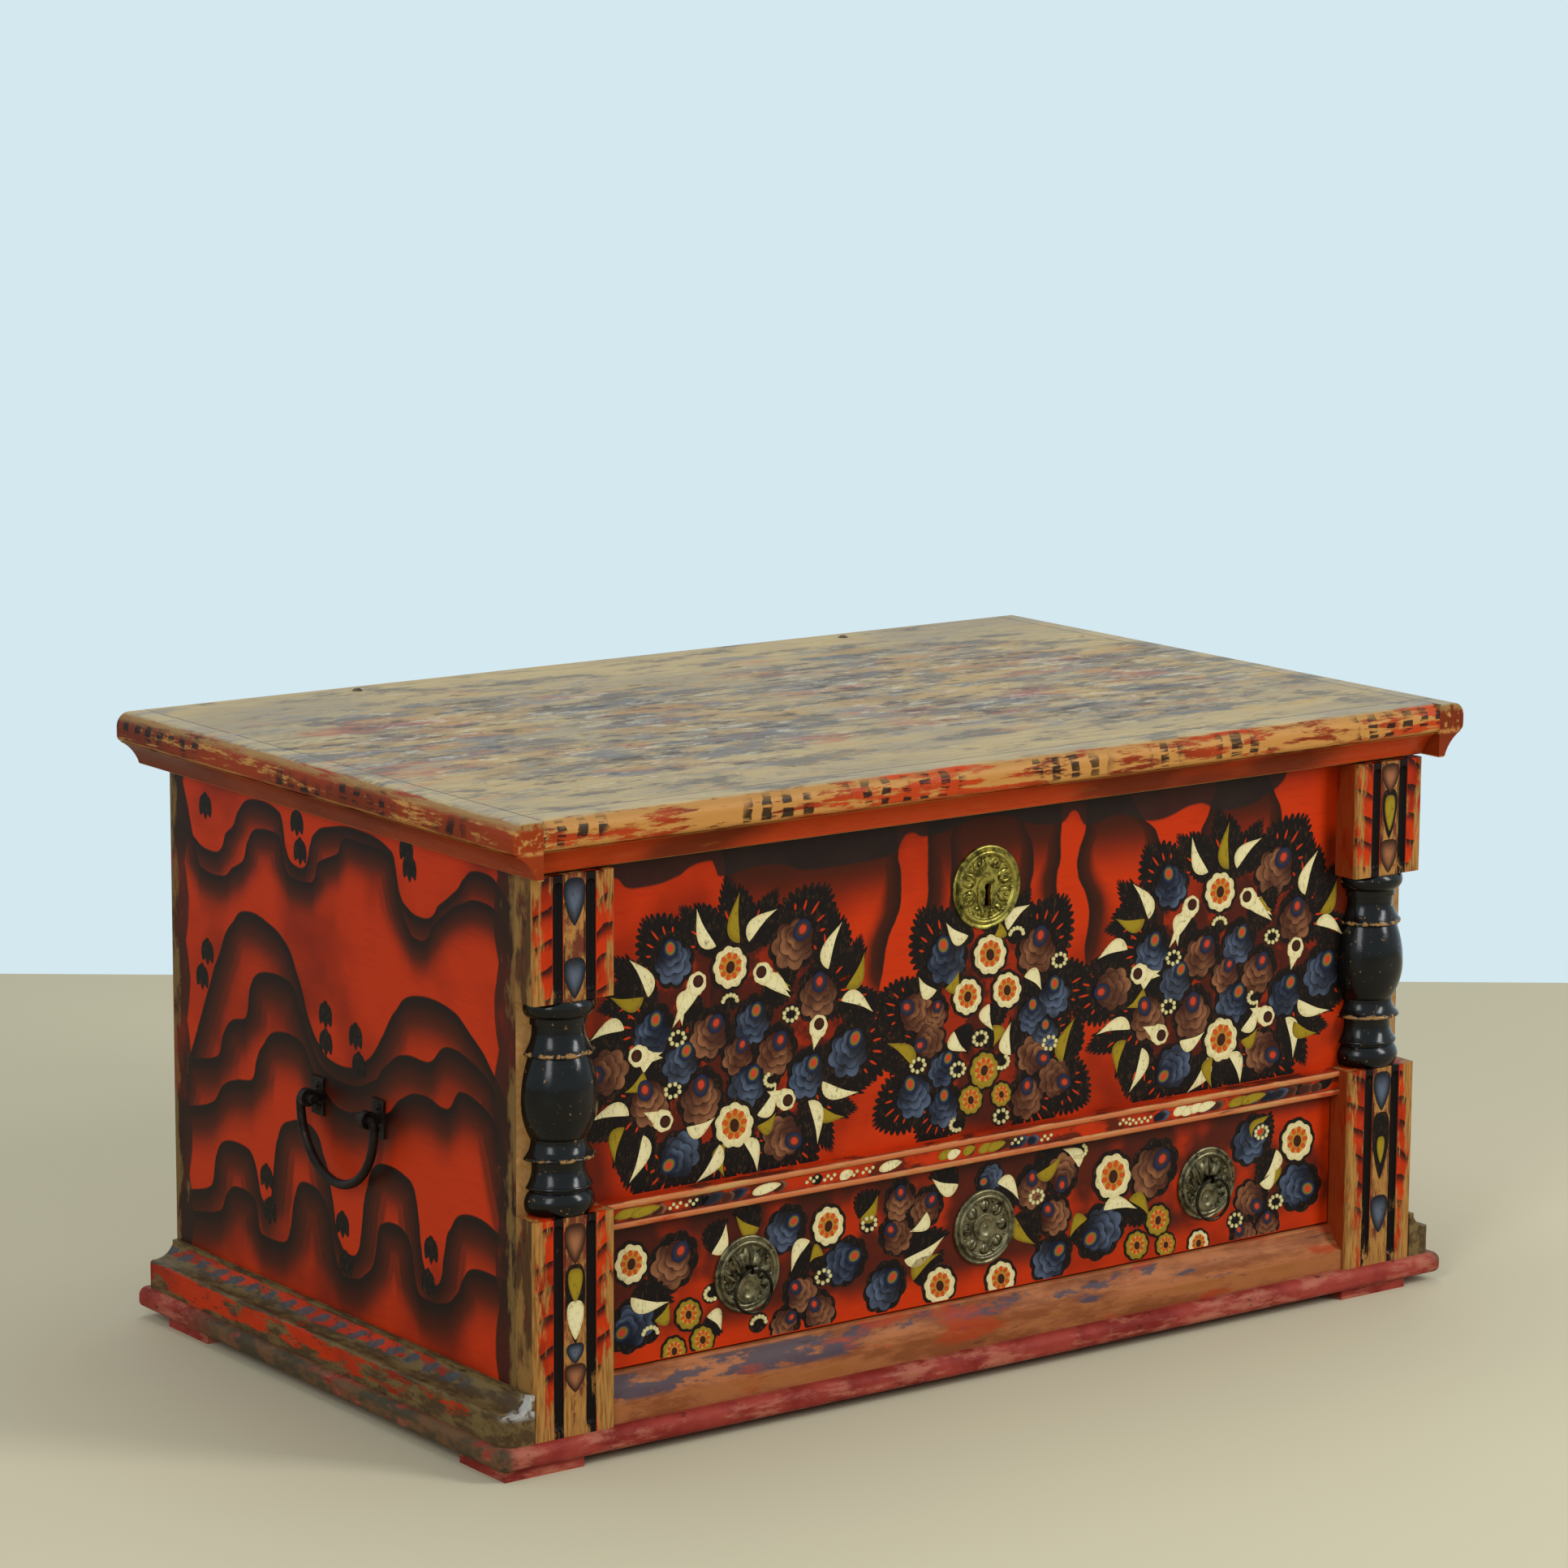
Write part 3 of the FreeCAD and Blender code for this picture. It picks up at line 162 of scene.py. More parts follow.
class Paint:
    """A material under construction. Lengths in it are millimetres of the chest itself."""

    def __init__(self, name, roughness=0.42, metallic=0.0, coat=0.0, shine=0.1):
        self.material = bpy.data.materials.new(name)
        self.material.use_nodes = True
        self.tree = self.material.node_tree
        self.shader = self.tree.nodes["Principled BSDF"]
        for socket, value in (("Roughness", roughness), ("Metallic", metallic),
                              ("Coat Weight", coat), ("Specular IOR Level", shine)):
            self.shader.inputs[socket].default_value = value
        source = self.node("ShaderNodeTexCoord")
        scaled = self.node("ShaderNodeVectorMath", operation="SCALE")
        self.tree.links.new(source.outputs["Object"], scaled.inputs[0])
        scaled.inputs["Scale"].default_value = 1 / MM
        self.place = Wire(self, scaled.outputs[0])
        self.x, self.y, self.z = self.split(self.place)
        self.uv = source.outputs["UV"]

    def node(self, kind, **settings):
        """Adds a node with its settings."""
        made = self.tree.nodes.new(kind)
        for name, value in settings.items():
            setattr(made, name, value)
        return made

    def feed(self, socket, value):
        """Leads a wire into a socket, or sets a plain value there."""
        if isinstance(value, Wire):
            self.tree.links.new(value.socket, socket)
        else:
            socket.default_value = value

    def split(self, vector):
        """The three parts of a place."""
        made = self.node("ShaderNodeSeparateXYZ")
        self.feed(made.inputs[0], vector)
        return [Wire(self, socket) for socket in made.outputs]

    def math(self, operation, *values):
        """One sum on wires and plain values."""
        made = self.node("ShaderNodeMath", operation=operation)
        for socket, value in zip(made.inputs, values):
            self.feed(socket, value)
        return Wire(self, made.outputs[0])

    def least(self, found, *values):
        """The smallest of the values."""
        for value in values:
            found = self.math("MINIMUM", found, value)
        return found

    def most(self, found, *values):
        """The largest of the values."""
        for value in values:
            found = self.math("MAXIMUM", found, value)
        return found

    def far(self, across, high):
        """How far a place is from where both values are zero."""
        return self.math("SQRT", across * across + high * high)

    def band(self, value, low, high):
        """0 below low and 1 above high, with a soft step between; low may be the larger."""
        made = self.node("ShaderNodeMapRange", interpolation_type="SMOOTHSTEP")
        start, end = (0.0, 1.0) if low <= high else (1.0, 0.0)
        for key, number in (("Value", value), ("From Min", min(low, high)),
                            ("From Max", max(low, high)), ("To Min", start), ("To Max", end)):
            self.feed(made.inputs[key], number)
        return Wire(self, made.outputs[0])

    def noise(self, grain, detail=4.0, rough=0.55, stretch=(1, 1, 1), shift=(0, 0, 0)):
        """Cloudy noise with marks about grain millimetres across, drawn out along stretch."""
        lay = self.node("ShaderNodeMapping")
        lay.inputs["Scale"].default_value = [1 / (grain * s) for s in stretch]
        lay.inputs["Location"].default_value = shift
        self.feed(lay.inputs["Vector"], self.place)
        made = self.node("ShaderNodeTexNoise")
        self.tree.links.new(lay.outputs[0], made.inputs["Vector"])
        made.inputs["Scale"].default_value = 1.0
        made.inputs["Detail"].default_value = detail
        made.inputs["Roughness"].default_value = rough
        return Wire(self, made.outputs[0])

    def mix(self, share, under, over):
        """The over paint laid on the under one with the given share of cover."""
        made = self.node("ShaderNodeMix", data_type="RGBA")
        for number, value in ((0, share), (6, under), (7, over)):
            self.feed(made.inputs[number], colour_of(value))
        return Wire(self, made.outputs[2])

    def curve(self, value, points):
        """A drawn line: what the points' second numbers are where value passes their first ones."""
        points = sorted(points)
        low, high = points[0][0], points[-1][0]
        floor, top = min(p[1] for p in points), max(p[1] for p in points) + 1
        made = self.node("ShaderNodeFloatCurve")
        line = made.mapping.curves[0]
        places = [((a - low) / (high - low), (b - floor) / (top - floor)) for a, b in points]
        line.points[0].location, line.points[-1].location = places[0], places[-1]
        for place in places[1:-1]:
            line.points.new(*place)
        for point in line.points:
            point.handle_type = "AUTO"
        made.mapping.update()
        self.feed(made.inputs["Value"], (value - low) / (high - low))
        return Wire(self, made.outputs[0]) * (top - floor) + floor

    def cover(self):
        """A stroke's two numbers: 0 at its middle to 1 at its rim, and its own tone."""
        made = self.node("ShaderNodeSeparateXYZ")
        self.tree.links.new(self.uv, made.inputs[0])
        return Wire(self, made.outputs[0]), Wire(self, made.outputs[1])

    def done(self, base, height=None, depth=0.4):
        """The finished material, with bumps of that depth in millimetres where height varies."""
        self.feed(self.shader.inputs["Base Color"], colour_of(base))
        if height is not None:
            bump = self.node("ShaderNodeBump")
            bump.inputs["Strength"].default_value = 1.0
            bump.inputs["Distance"].default_value = depth * MM
            self.feed(bump.inputs["Height"], height)
            self.tree.links.new(bump.outputs[0], self.shader.inputs["Normal"])
        return self.material


# Noise drawn out along the length of a board.
ALONG_X, ALONG_Y, ALONG_Z = (14, 1, 1), (1, 14, 1), (1, 1, 14)


def grain_of(p, along, grain=3.2):
    """Fine streaks of wood or brush along one way of the board."""
    return p.noise(grain, 5, 0.6, along)


def red_ground(p, along):
    """Red paint, darker in streaks, scratched along the grain and specked down to the wood."""
    base = p.mix(p.band(p.noise(130, 3), 0.42, 0.72), "red", "deep_red")
    base = p.mix(p.band(grain_of(p, along, 2.4), 0.5, 0.86) * 0.45, base, "deep_red")
    base = p.mix(p.band(grain_of(p, along, 1.3), 0.66, 0.76) * 0.5, base, "brown")
    scratch = p.band(p.noise(5, 6, 0.72, along, (2, 9, 4)), 0.69, 0.74)
    scratch = scratch * p.band(p.noise(90, 2, 0.5, shift=(6, 1, 3)), 0.44, 0.6)
    base = p.mix(scratch * 0.55, base, "ochre")
    dirt = p.band(p.noise(2.6, 3, 0.6, shift=(1, 8, 3)), 0.68, 0.74) * 0.6
    base = p.mix(dirt, base, "brown")
    chips = p.band(p.noise(3.4, 3, 0.5, shift=(5, 2, 9)), 0.72, 0.75)
    return p.mix(chips * 0.7, base, "ochre")


def bare(p, along):
    """Unpainted pine with darker year rings."""
    base = p.mix(p.band(grain_of(p, along, 7), 0.35, 0.7), "pine", "ochre")
    return p.mix(p.band(grain_of(p, along, 2), 0.55, 0.8) * 0.5, base, (92, 62, 36))


# How soft the edge of a cloud or hanging is, and how quickly the dark falls off behind it.
EDGE_SOFT, FALL_OFF = 1.6, 1.6


def faded(p, edge, distance, fade):
    """How dark a cloud is at a distance inside its edge: full at the edge, gone after the fade."""
    inside = p.band(distance, -EDGE_SOFT, EDGE_SOFT)
    away = p.math("MAXIMUM", distance, 0.0) / fade
    return inside * p.math("POWER", 2.718, away * away * -FALL_OFF - away * edge)


# Places of the clouds, hangings and flowers are rounded to about five millimetres.
# Edges of the painted clouds on a side board, as (depth, height); each is dark just under its edge.
CLOUDS = (
    ((240, 455), (210, 450), (190, 470), (175, 480), (165, 495), (130, 510), (95, 505), (85, 475),
     (60, 460), (45, 480), (35, 495), (10, 505), (-35, 510), (-90, 500), (-100, 475), (-115, 455),
     (-140, 450), (-165, 465), (-195, 485), (-205, 495), (-230, 505), (-255, 500)),
    ((240, 440), (220, 430), (200, 430), (180, 440), (160, 450), (150, 470), (125, 485), (100, 485),
     (90, 470), (75, 450), (45, 450), (30, 470), (-5, 485), (-15, 500), (-40, 500), (-70, 500),
     (-90, 495), (-100, 470), (-115, 440), (-135, 430), (-155, 445), (-175, 460), (-205, 475),
     (-230, 480), (-255, 475)),
    ((255, 260), (240, 290), (205, 355), (180, 390), (150, 405), (115, 400), (90, 390), (65, 360),
     (45, 320), (30, 305), (10, 295), (-20, 295), (-45, 305), (-75, 335), (-95, 360), (-130, 380),
     (-175, 380), (-210, 365), (-255, 330)),
    ((260, 250), (210, 260), (200, 280), (180, 300), (160, 305), (150, 335), (120, 355), (85, 355),
     (65, 335), (45, 305), (20, 285), (-15, 280), (-55, 290), (-80, 310), (-115, 325), (-145, 325),
     (-180, 345), (-215, 340), (-255, 310)),
    ((255, 205), (220, 215), (200, 235), (175, 245), (150, 250), (140, 270), (130, 285), (95, 305),
     (70, 305), (45, 285), (20, 265), (-10, 255), (-40, 260), (-75, 265), (-105, 285), (-140, 295),
     (-175, 290), (-200, 310), (-230, 305), (-255, 285)),
    ((255, 125), (225, 135), (215, 165), (190, 185), (160, 185), (140, 160), (125, 140), (115, 165),
     (105, 205), (85, 225), (55, 230), (25, 205), (10, 165), (0, 135), (-20, 125), (-35, 145),
     (-45, 190), (-75, 220), (-115, 215), (-130, 185), (-140, 140), (-155, 130), (-170, 160),
     (-180, 185), (-215, 205), (-250, 200)),
    ((255, 105), (210, 115), (195, 135), (170, 145), (145, 140), (135, 110), (100, 110), (85, 125),
     (75, 160), (55, 175), (25, 165), (10, 130), (-10, 105), (-45, 115), (-60, 140), (-70, 165),
     (-95, 170), (-120, 150), (-135, 115), (-155, 115), (-190, 130), (-200, 145), (-225, 160),
     (-255, 160)),
)
# Three leaning petals of a side bud: half height of the middle one, how much shorter the others
# are, how far their upper and lower ends lean out, and half width.
BUD_HALF, BUD_SHORTER, BUD_NECK, BUD_SPREAD, BUD_WIDE = 13, 3, 2, 9, 7.0
# Small black buds between the clouds of a side board, as (depth, height).
SIDE_BUDS = ((65, 500), (60, 475), (-115, 505), (-120, 490), (225, 355), (235, 330), (20, 335),
             (20, 310), (-30, 325), (-35, 300), (225, 490), (125, 165), (120, 135), (-5, 150),
             (-10, 115), (-150, 160), (-145, 130))
# Painted hangings on the front board: left edge and right edge as (height, place across).
HANGINGS = (
    (((510, -295), (485, -285), (450, -290), (380, -300), (340, -300)),
     ((510, -100), (490, -100), (450, -95), (405, -110), (340, -120))),
    (((510, -70), (450, -65), (420, -70), (220, -75)),
     ((510, 85), (460, 85), (435, 80), (395, 95), (380, 80), (220, 80))),
    (((510, -30), (490, -40), (435, -40), (380, -45)),
     ((510, 40), (490, 45), (460, 55), (430, 50), (380, 60))),
    (((510, 115), (485, 115), (450, 105), (405, 120), (365, 115), (330, 120)),
     ((510, 165), (485, 180), (465, 200), (430, 205), (330, 210))),
    (((510, 270), (480, 260), (455, 250), (400, 260)),
     ((510, 330), (490, 340), (460, 350), (430, 345), (400, 330))),
)
# The two wreaths and the middle bunch: middle across, middle height, half width, half height.
WREATHS = ((-275, 340, 138, 122), (5, 310, 104, 96), (280, 340, 138, 122))
# Lower edge of the dark band under the lid, as (place across, height).
VALANCE = ((-420, 500), (-395, 495), (-380, 485), (-335, 490), (-300, 500), (-290, 485),
           (-245, 490), (-195, 480), (-140, 480), (-100, 485), (-85, 500), (-70, 495), (0, 505),
           (45, 495), (85, 490), (100, 500), (115, 485), (150, 490), (195, 480), (250, 490),
           (275, 480), (330, 490), (350, 500), (375, 515), (420, 515))
# Heights over which a hanging's flat tone comes in, over how far its edges fade, and over how far
# it comes in from its lower end.
HANGING_TONE, HANGING_FADE, HANGING_END = (405, 500), 34.0, 50
# On the front: heights over which the smoke under the lid comes in, where the ends darken, and the
# radii of the painted shade that blackens the bare wood in and round the keyhole.
FRONT_SMOKE, FRONT_ENDS, KEYHOLE_SHADE = (470, 512), (396, 412), (36, 30)
# On the drawer: heights over which the smoke and the shade under the rail come in.
DRAWER_SMOKE, DRAWER_SHADE = (76, 104), (176, 194)
# How far to either side the nearest cloud edge is looked for.
CLOUD_STEPS = (-33, -23, -15, -9, -4, 4, 9, 15, 23, 33)
# The first clouds hang under the lid and fade sooner.
HIGH_CLOUDS, HIGH_FADE = 2, 0.75
# Dark strips on a side: how far from its middle they begin, and their scallops' length and depth.
STRIP_FROM, SCALLOP_LONG, SCALLOP_DEEP = 261, 74, 7


def paint_side(sign):
    """Cloud-grained side board, with scalloped dark strips at its front and back edges."""
    p = Paint("side_left_paint" if sign < 0 else "side_right_paint", 0.4)
    along = ALONG_Y
    wave = (p.noise(30, 2) - 0.5) * 4
    y, z = p.y + wave, p.z
    fade = size_of("cloud_fade") / MM
    dark = None
    for number, points in enumerate(CLOUDS):
        under = p.curve(y, points) - z
        nearest = under
        for step in CLOUD_STEPS:
            beside = p.math("MAXIMUM", p.curve(y + step, points) - z, 0.0) + abs(step) * 0.85
            nearest = p.math("SMOOTH_MIN", nearest, beside, 7.0)
        nearest = p.least(under, p.math("MAXIMUM", nearest + 2, 0.0))
        here = faded(p, 1.0, nearest, fade * (HIGH_FADE if number < HIGH_CLOUDS else 1.0))
        dark = here if dark is None else p.most(dark, here)
    base = red_ground(p, along)
    base = p.mix(p.band(dark, 0.04, 0.62) * 0.94, base, "brown")
    base = p.mix(p.band(dark, 0.5, 0.98) * 0.92, base, "black")
    scallops = abs(p.math("SINE", (z + 12) * (math.pi / SCALLOP_LONG))) * SCALLOP_DEEP
    strip = p.band(abs(y - SIDE_MIDDLE) - STRIP_FROM + scallops, -1.2, 1.2)
    base = p.mix(strip * 0.93, base, (40, 20, 14))
    outer = p.band(abs(p.y - SIDE_MIDDLE), STRIP_FROM + 5, STRIP_FROM + 25)
    rub = p.noise(16, 5, 0.65, (1, 1, 3)) + outer * 0.24
    base = p.mix(strip * p.band(rub, 0.6, 0.74), base, (112, 86, 46))
    stain = p.band(p.noise(40, 3, 0.6, (1, 1, 2), (3, 3, 3)), 0.5, 0.75)
    base = p.mix(strip * stain * 0.6, base, "deep_red")
    scrape = p.band(p.noise(26, 6, 0.7, (1, 3, 0.6), (7, 1, 4)), 0.68, 0.76)
    base = p.mix(scrape * 0.35, base, "ochre")
    base = p.mix(p.band(abs(p.x), SIDE_FACE - 0.8, SIDE_FACE - 0.4), bare(p, along), base)
    return p.done(base, grain_of(p, along), 0.12)


def paint_front():
    """Red front board with brown hangings and painted shade in the keyhole; the wreaths lie on it
    as strokes of their own.
    """
    p = Paint("front_board_paint", 0.38)
    sway = (p.noise(26, 2) - 0.5) * 6
    x, z = p.x + sway, p.z
    dark = None
    for left, right in HANGINGS:
        low = min(point[0] for point in left + right)
        inner = p.least(x - p.curve(z, left), p.curve(z, right) - x)
        here = faded(p, 0.9, inner, HANGING_FADE) * p.band(z, low, low + HANGING_END)
        here = p.most(here, p.band(inner, 0, 8) * p.band(z, *HANGING_TONE) * 0.62)
        dark = here if dark is None else p.most(dark, here)
    base = red_ground(p, ALONG_X)
    base = p.mix(p.band(dark, 0.05, 0.6), base, "brown")
    base = p.mix(p.band(dark, 0.55, 1.0) * 0.8, base, (30, 17, 14))
    smoke = p.band(z, *FRONT_SMOKE) * 0.5
    base = p.mix(smoke * p.band(p.noise(70, 3), 0.4, 0.7), base, "brown")
    over = p.band(z - p.curve(x, VALANCE), -1.2, 1.6)
    base = p.mix(over * 0.95, base, p.mix(p.noise(30, 4), (46, 32, 28), (24, 17, 16)))
    for across, high, wide, tall in WREATHS:
        spread = p.far((x - across) / wide, (z - high) / tall)
        patches = p.band(p.noise(30, 4, 0.6, shift=(9, 2, 5)), 0.4, 0.52) * 0.45 + 0.5
        haze = p.band(spread, 1.08, 0.8) * patches
        base = p.mix(haze * 0.97, base, p.mix(p.noise(24, 3), (66, 26, 16), (18, 12, 11)))
    ends = p.band(abs(x), *FRONT_ENDS) * p.band(p.noise(60, 3, 0.5, (1, 1, 2)), 0.38, 0.6)
    base = p.mix(ends * 0.8, base, "brown")
    # Painted shade: inside the board round the keyhole the bare wood is painted black, as the dark
    # of the hole.
    keyhole = p.band(p.far(p.x, p.z - KEY_LEVEL), *KEYHOLE_SHADE)
    bare_and_keyhole_shade = p.mix(keyhole, bare(p, ALONG_X), "black")
    base = p.mix(p.band(p.y, FRONT_FACE + PAINT_SKIN, FRONT_FACE + SKIN_END), base, bare_and_keyhole_shade)
    return p.done(base, grain_of(p, ALONG_X), 0.1)


def paint_drawer():
    """Red drawer front, smoky between the flowers."""
    p = Paint("drawer_front_paint", 0.38)
    base = red_ground(p, ALONG_X)
    smoke = p.band(p.noise(70, 3, 0.5, shift=(4, 4, 1)), 0.36, 0.56) * p.band(p.z, *DRAWER_SMOKE)
    base = p.mix(smoke * 0.92, base, p.mix(p.noise(22, 3), (74, 28, 16), (26, 16, 13)))
    base = p.mix(p.band(p.z, *DRAWER_SHADE) * 0.7, base, (52, 26, 18))
    inside = p.band(p.y, DRAWER_FACE + PAINT_SKIN, DRAWER_FACE + SKIN_END)
    base = p.mix(inside, base, bare(p, ALONG_X))
    return p.done(base, grain_of(p, ALONG_X), 0.1)


# Corner blocks, from their middle: where the reed ends, the flutes run, the plain faces begin and
# the flanks begin.
REED_HALF, FLUTE_PLACE, FACE_FROM, FLANK_FROM = 11, 16.5, 22, 39
# Heights over which the lower and the upper blocks wear more towards the floor and the columns.
LOWER_WEAR, TOP_WEAR = (150, 30), (430, 404)
# How far apart their brush strokes are, and below which height they are worn off.
DASH_STEP, DASH_LOWEST = 25, 66
# Heights of the rubbed rings on the half-columns.
COLUMN_RINGS = (268, 358)


def paint_block(lower):
    """Fluted corner block: red faces, black flutes, a worn reed between them, rubbed corners, and
    inner flanks painted deep red as painted shade.
    """
    p = Paint("lower_block_paint" if lower else "top_block_paint", 0.45)
    across = abs(p.x) - BLOCK_MIDDLE
    away = abs(across)
    base = p.mix(p.band(p.noise(60, 3), 0.4, 0.7), "red", "deep_red")
    base = p.mix(p.band(grain_of(p, ALONG_Z, 2.4), 0.5, 0.85) * 0.5, base, "deep_red")
    bow = (away - 30) * (away - 30) * 0.02
    climb = p.z + across * 0.5 + bow + (p.noise(34, 2, 0.5, shift=(8, 5, 1)) - 0.5) * 16
    dash = p.band(p.math("FRACT", climb / DASH_STEP), 0.5, 0.94)
    dash = dash * p.band(away, FACE_FROM - 0.4, FACE_FROM + 0.6)
    dash = dash * p.band(p.noise(5, 4, 0.65, (1, 1, 2), (6, 3, 3)), 0.3, 0.42)
    if lower:
        dash = dash * p.band(p.z, DASH_LOWEST - 12, DASH_LOWEST + 12)
    base = p.mix(dash * 0.94, base, "black")
    reed = p.band(away, REED_HALF + 0.5, REED_HALF - 0.5)
    flake = p.band(p.noise(12, 5, 0.65, (1, 1, 2), (4, 9, 2)), 0.42, 0.58)
    base = p.mix(reed * 0.92, base, p.mix(flake, (166, 122, 62), (92, 50, 34)))
    lines = p.band(away, 8.4, 9.8) * p.band(p.noise(7, 4, 0.6, (1, 1, 3)), 0.4, 0.52)
    base = p.mix(reed * lines * 0.85, base, "black")
    rub = p.noise(13, 6, 0.65, (0.7, 1, 3.4)) + p.band(away, 24, 41) * 0.17
    rub = rub + (p.band(p.z, *LOWER_WEAR) * 0.16 + 0.02 if lower else p.band(p.z, *TOP_WEAR) * 0.1)
    wood = p.mix(p.band(grain_of(p, ALONG_Z, 2), 0.4, 0.7), (170, 122, 62), (118, 76, 34))
    base = p.mix(p.band(rub, 0.55, 0.68), base, wood)
    hollow = abs(away - FLUTE_PLACE)
    flute = p.band(hollow, 6.2, 5.2) * p.band(p.y, BLOCK_FACE + 5, BLOCK_FACE + 4)
    wall = p.most(p.band(p.y, BLOCK_FACE + 0.4, BLOCK_FACE + 0.8), p.band(hollow, 5.4, 4.6))
    base = p.mix(flute * wall * p.band(rub, 0.78, 0.66), base, "black")
    behind = p.band(p.y, BLOCK_FACE + 3, BLOCK_FACE + 5)
    # Painted shade: the inner flanks, beside the front board, are painted deep red.
    base = p.mix(behind * p.band(across, 1 - FLANK_FROM, -1 - FLANK_FROM) * 0.85, base, "deep_red")
    flank = behind * p.band(across, FLANK_FROM - 1, FLANK_FROM + 1)
    smear = p.mix(p.band(p.noise(18, 5, 0.6, (1, 1, 3), (2, 8, 1)), 0.44, 0.58),
                  (46, 24, 16), (132, 98, 52))
    base = p.mix(flank * 0.85, base, smear)
    return p.done(base, grain_of(p, ALONG_Z) + p.band(rub, 0.55, 0.68) * -0.6, 0.3)


def paint_column():
    """Black gloss on the turned half-columns, rubbed through on the rings."""
    p = Paint("column_paint", 0.18, coat=0.04, shine=0.24)
    p.shader.inputs["Coat Roughness"].default_value = 0.2
    rings = p.least(*[abs(p.z - level) for level in COLUMN_RINGS])
    rub = p.noise(9, 5, 0.65) + p.band(rings, 4, 0.5) * 0.2
    specks = p.band(p.noise(4.2, 3, 0.5, (1, 1, 1), (3, 3, 3)), 0.68, 0.73)
    base = p.mix(p.band(p.noise(30, 3), 0.45, 0.7) * 0.5, (9, 8, 8), (24, 19, 17))
    base = p.mix(p.most(p.band(rub, 0.66, 0.74), specks * 0.8), base, (150, 112, 66))
    return p.done(base, p.noise(14, 4), 0.3)


# Seams of the lid: where its end mouldings begin, and where its boards meet from front to back.
LID_END, LID_SEAMS = 502, (-297, -88.3, 120.3)
# The two worn wreaths on the lid: middles across, radius, and how much they are squashed in depth.
LID_WREATHS, LID_WREATH_RADIUS, LID_SQUASH = (-250, 250), 140, 1.1402
# Remains of paint on the lid: mark size, shift of the noise, where it starts and is full, cover
# and colour.
LID_REMAINS = (
    (40, (1, 5, 2), 0.56, 0.68, 0.75, (84, 80, 80)),
    (30, (8, 3, 2), 0.61, 0.72, 0.6, (108, 110, 114)),
    (52, (3, 9, 6), 0.64, 0.76, 0.5, (166, 82, 56)),
    (34, (5, 1, 9), 0.62, 0.7, 0.5, (176, 142, 84)),
    (14, (6, 2, 8), 0.68, 0.74, 0.5, (196, 190, 170)),
    (20, (2, 7, 4), 0.67, 0.74, 0.7, (58, 46, 44)),
)
# Lower edge of the lid mouldings' nose, and how far apart the black dabs on it are.
NOSE_LOW, DAB_STEP = 538, 21


def lid_wear(p):
    """The lid's top: worn boards with remains of two painted wreaths."""
    grain = grain_of(p, (26, 1, 1), 2.2)
    fine = grain_of(p, (18, 1, 1), 1.1)
    base = p.mix(p.band(p.noise(120, 4, 0.6, (2, 1, 1)), 0.38, 0.66), "tan", (154, 140, 112))
    base = p.mix(p.band(grain, 0.42, 0.72) * 0.5, base, (116, 100, 84))
    base = p.mix(p.band(fine, 0.56, 0.74) * 0.55, base, (82, 70, 60))
    seams = p.least(abs(abs(p.x) - LID_END), *[abs(p.y - seam) for seam in LID_SEAMS])
    base = p.mix(p.band(seams, 1.5, 0.4) * 0.75, base, (60, 48, 38))
    rings = [abs(p.far(p.x - place, p.y * LID_SQUASH) - LID_WREATH_RADIUS) for place in LID_WREATHS]
    near = p.band(p.least(*rings), 260, 10) * 0.1 + 0.035
    for grain_size, shift, low, high, cover, paint in LID_REMAINS:
        left = p.noise(grain_size, 7, 0.72, (2.6, 1, 1), shift) + near
        base = p.mix(p.band(left, low, high) * cover, base, paint)
    return base, grain


def paint_lid_board():
    """Lid board: worn on top, bare below."""
    p = Paint("lid_board_paint", 0.5)
    base, grain = lid_wear(p)
    base = p.mix(p.band(p.z, LID_TOP - 1.4, LID_TOP - 0.8), bare(p, ALONG_X), base)
    return p.done(base, grain, 0.25)


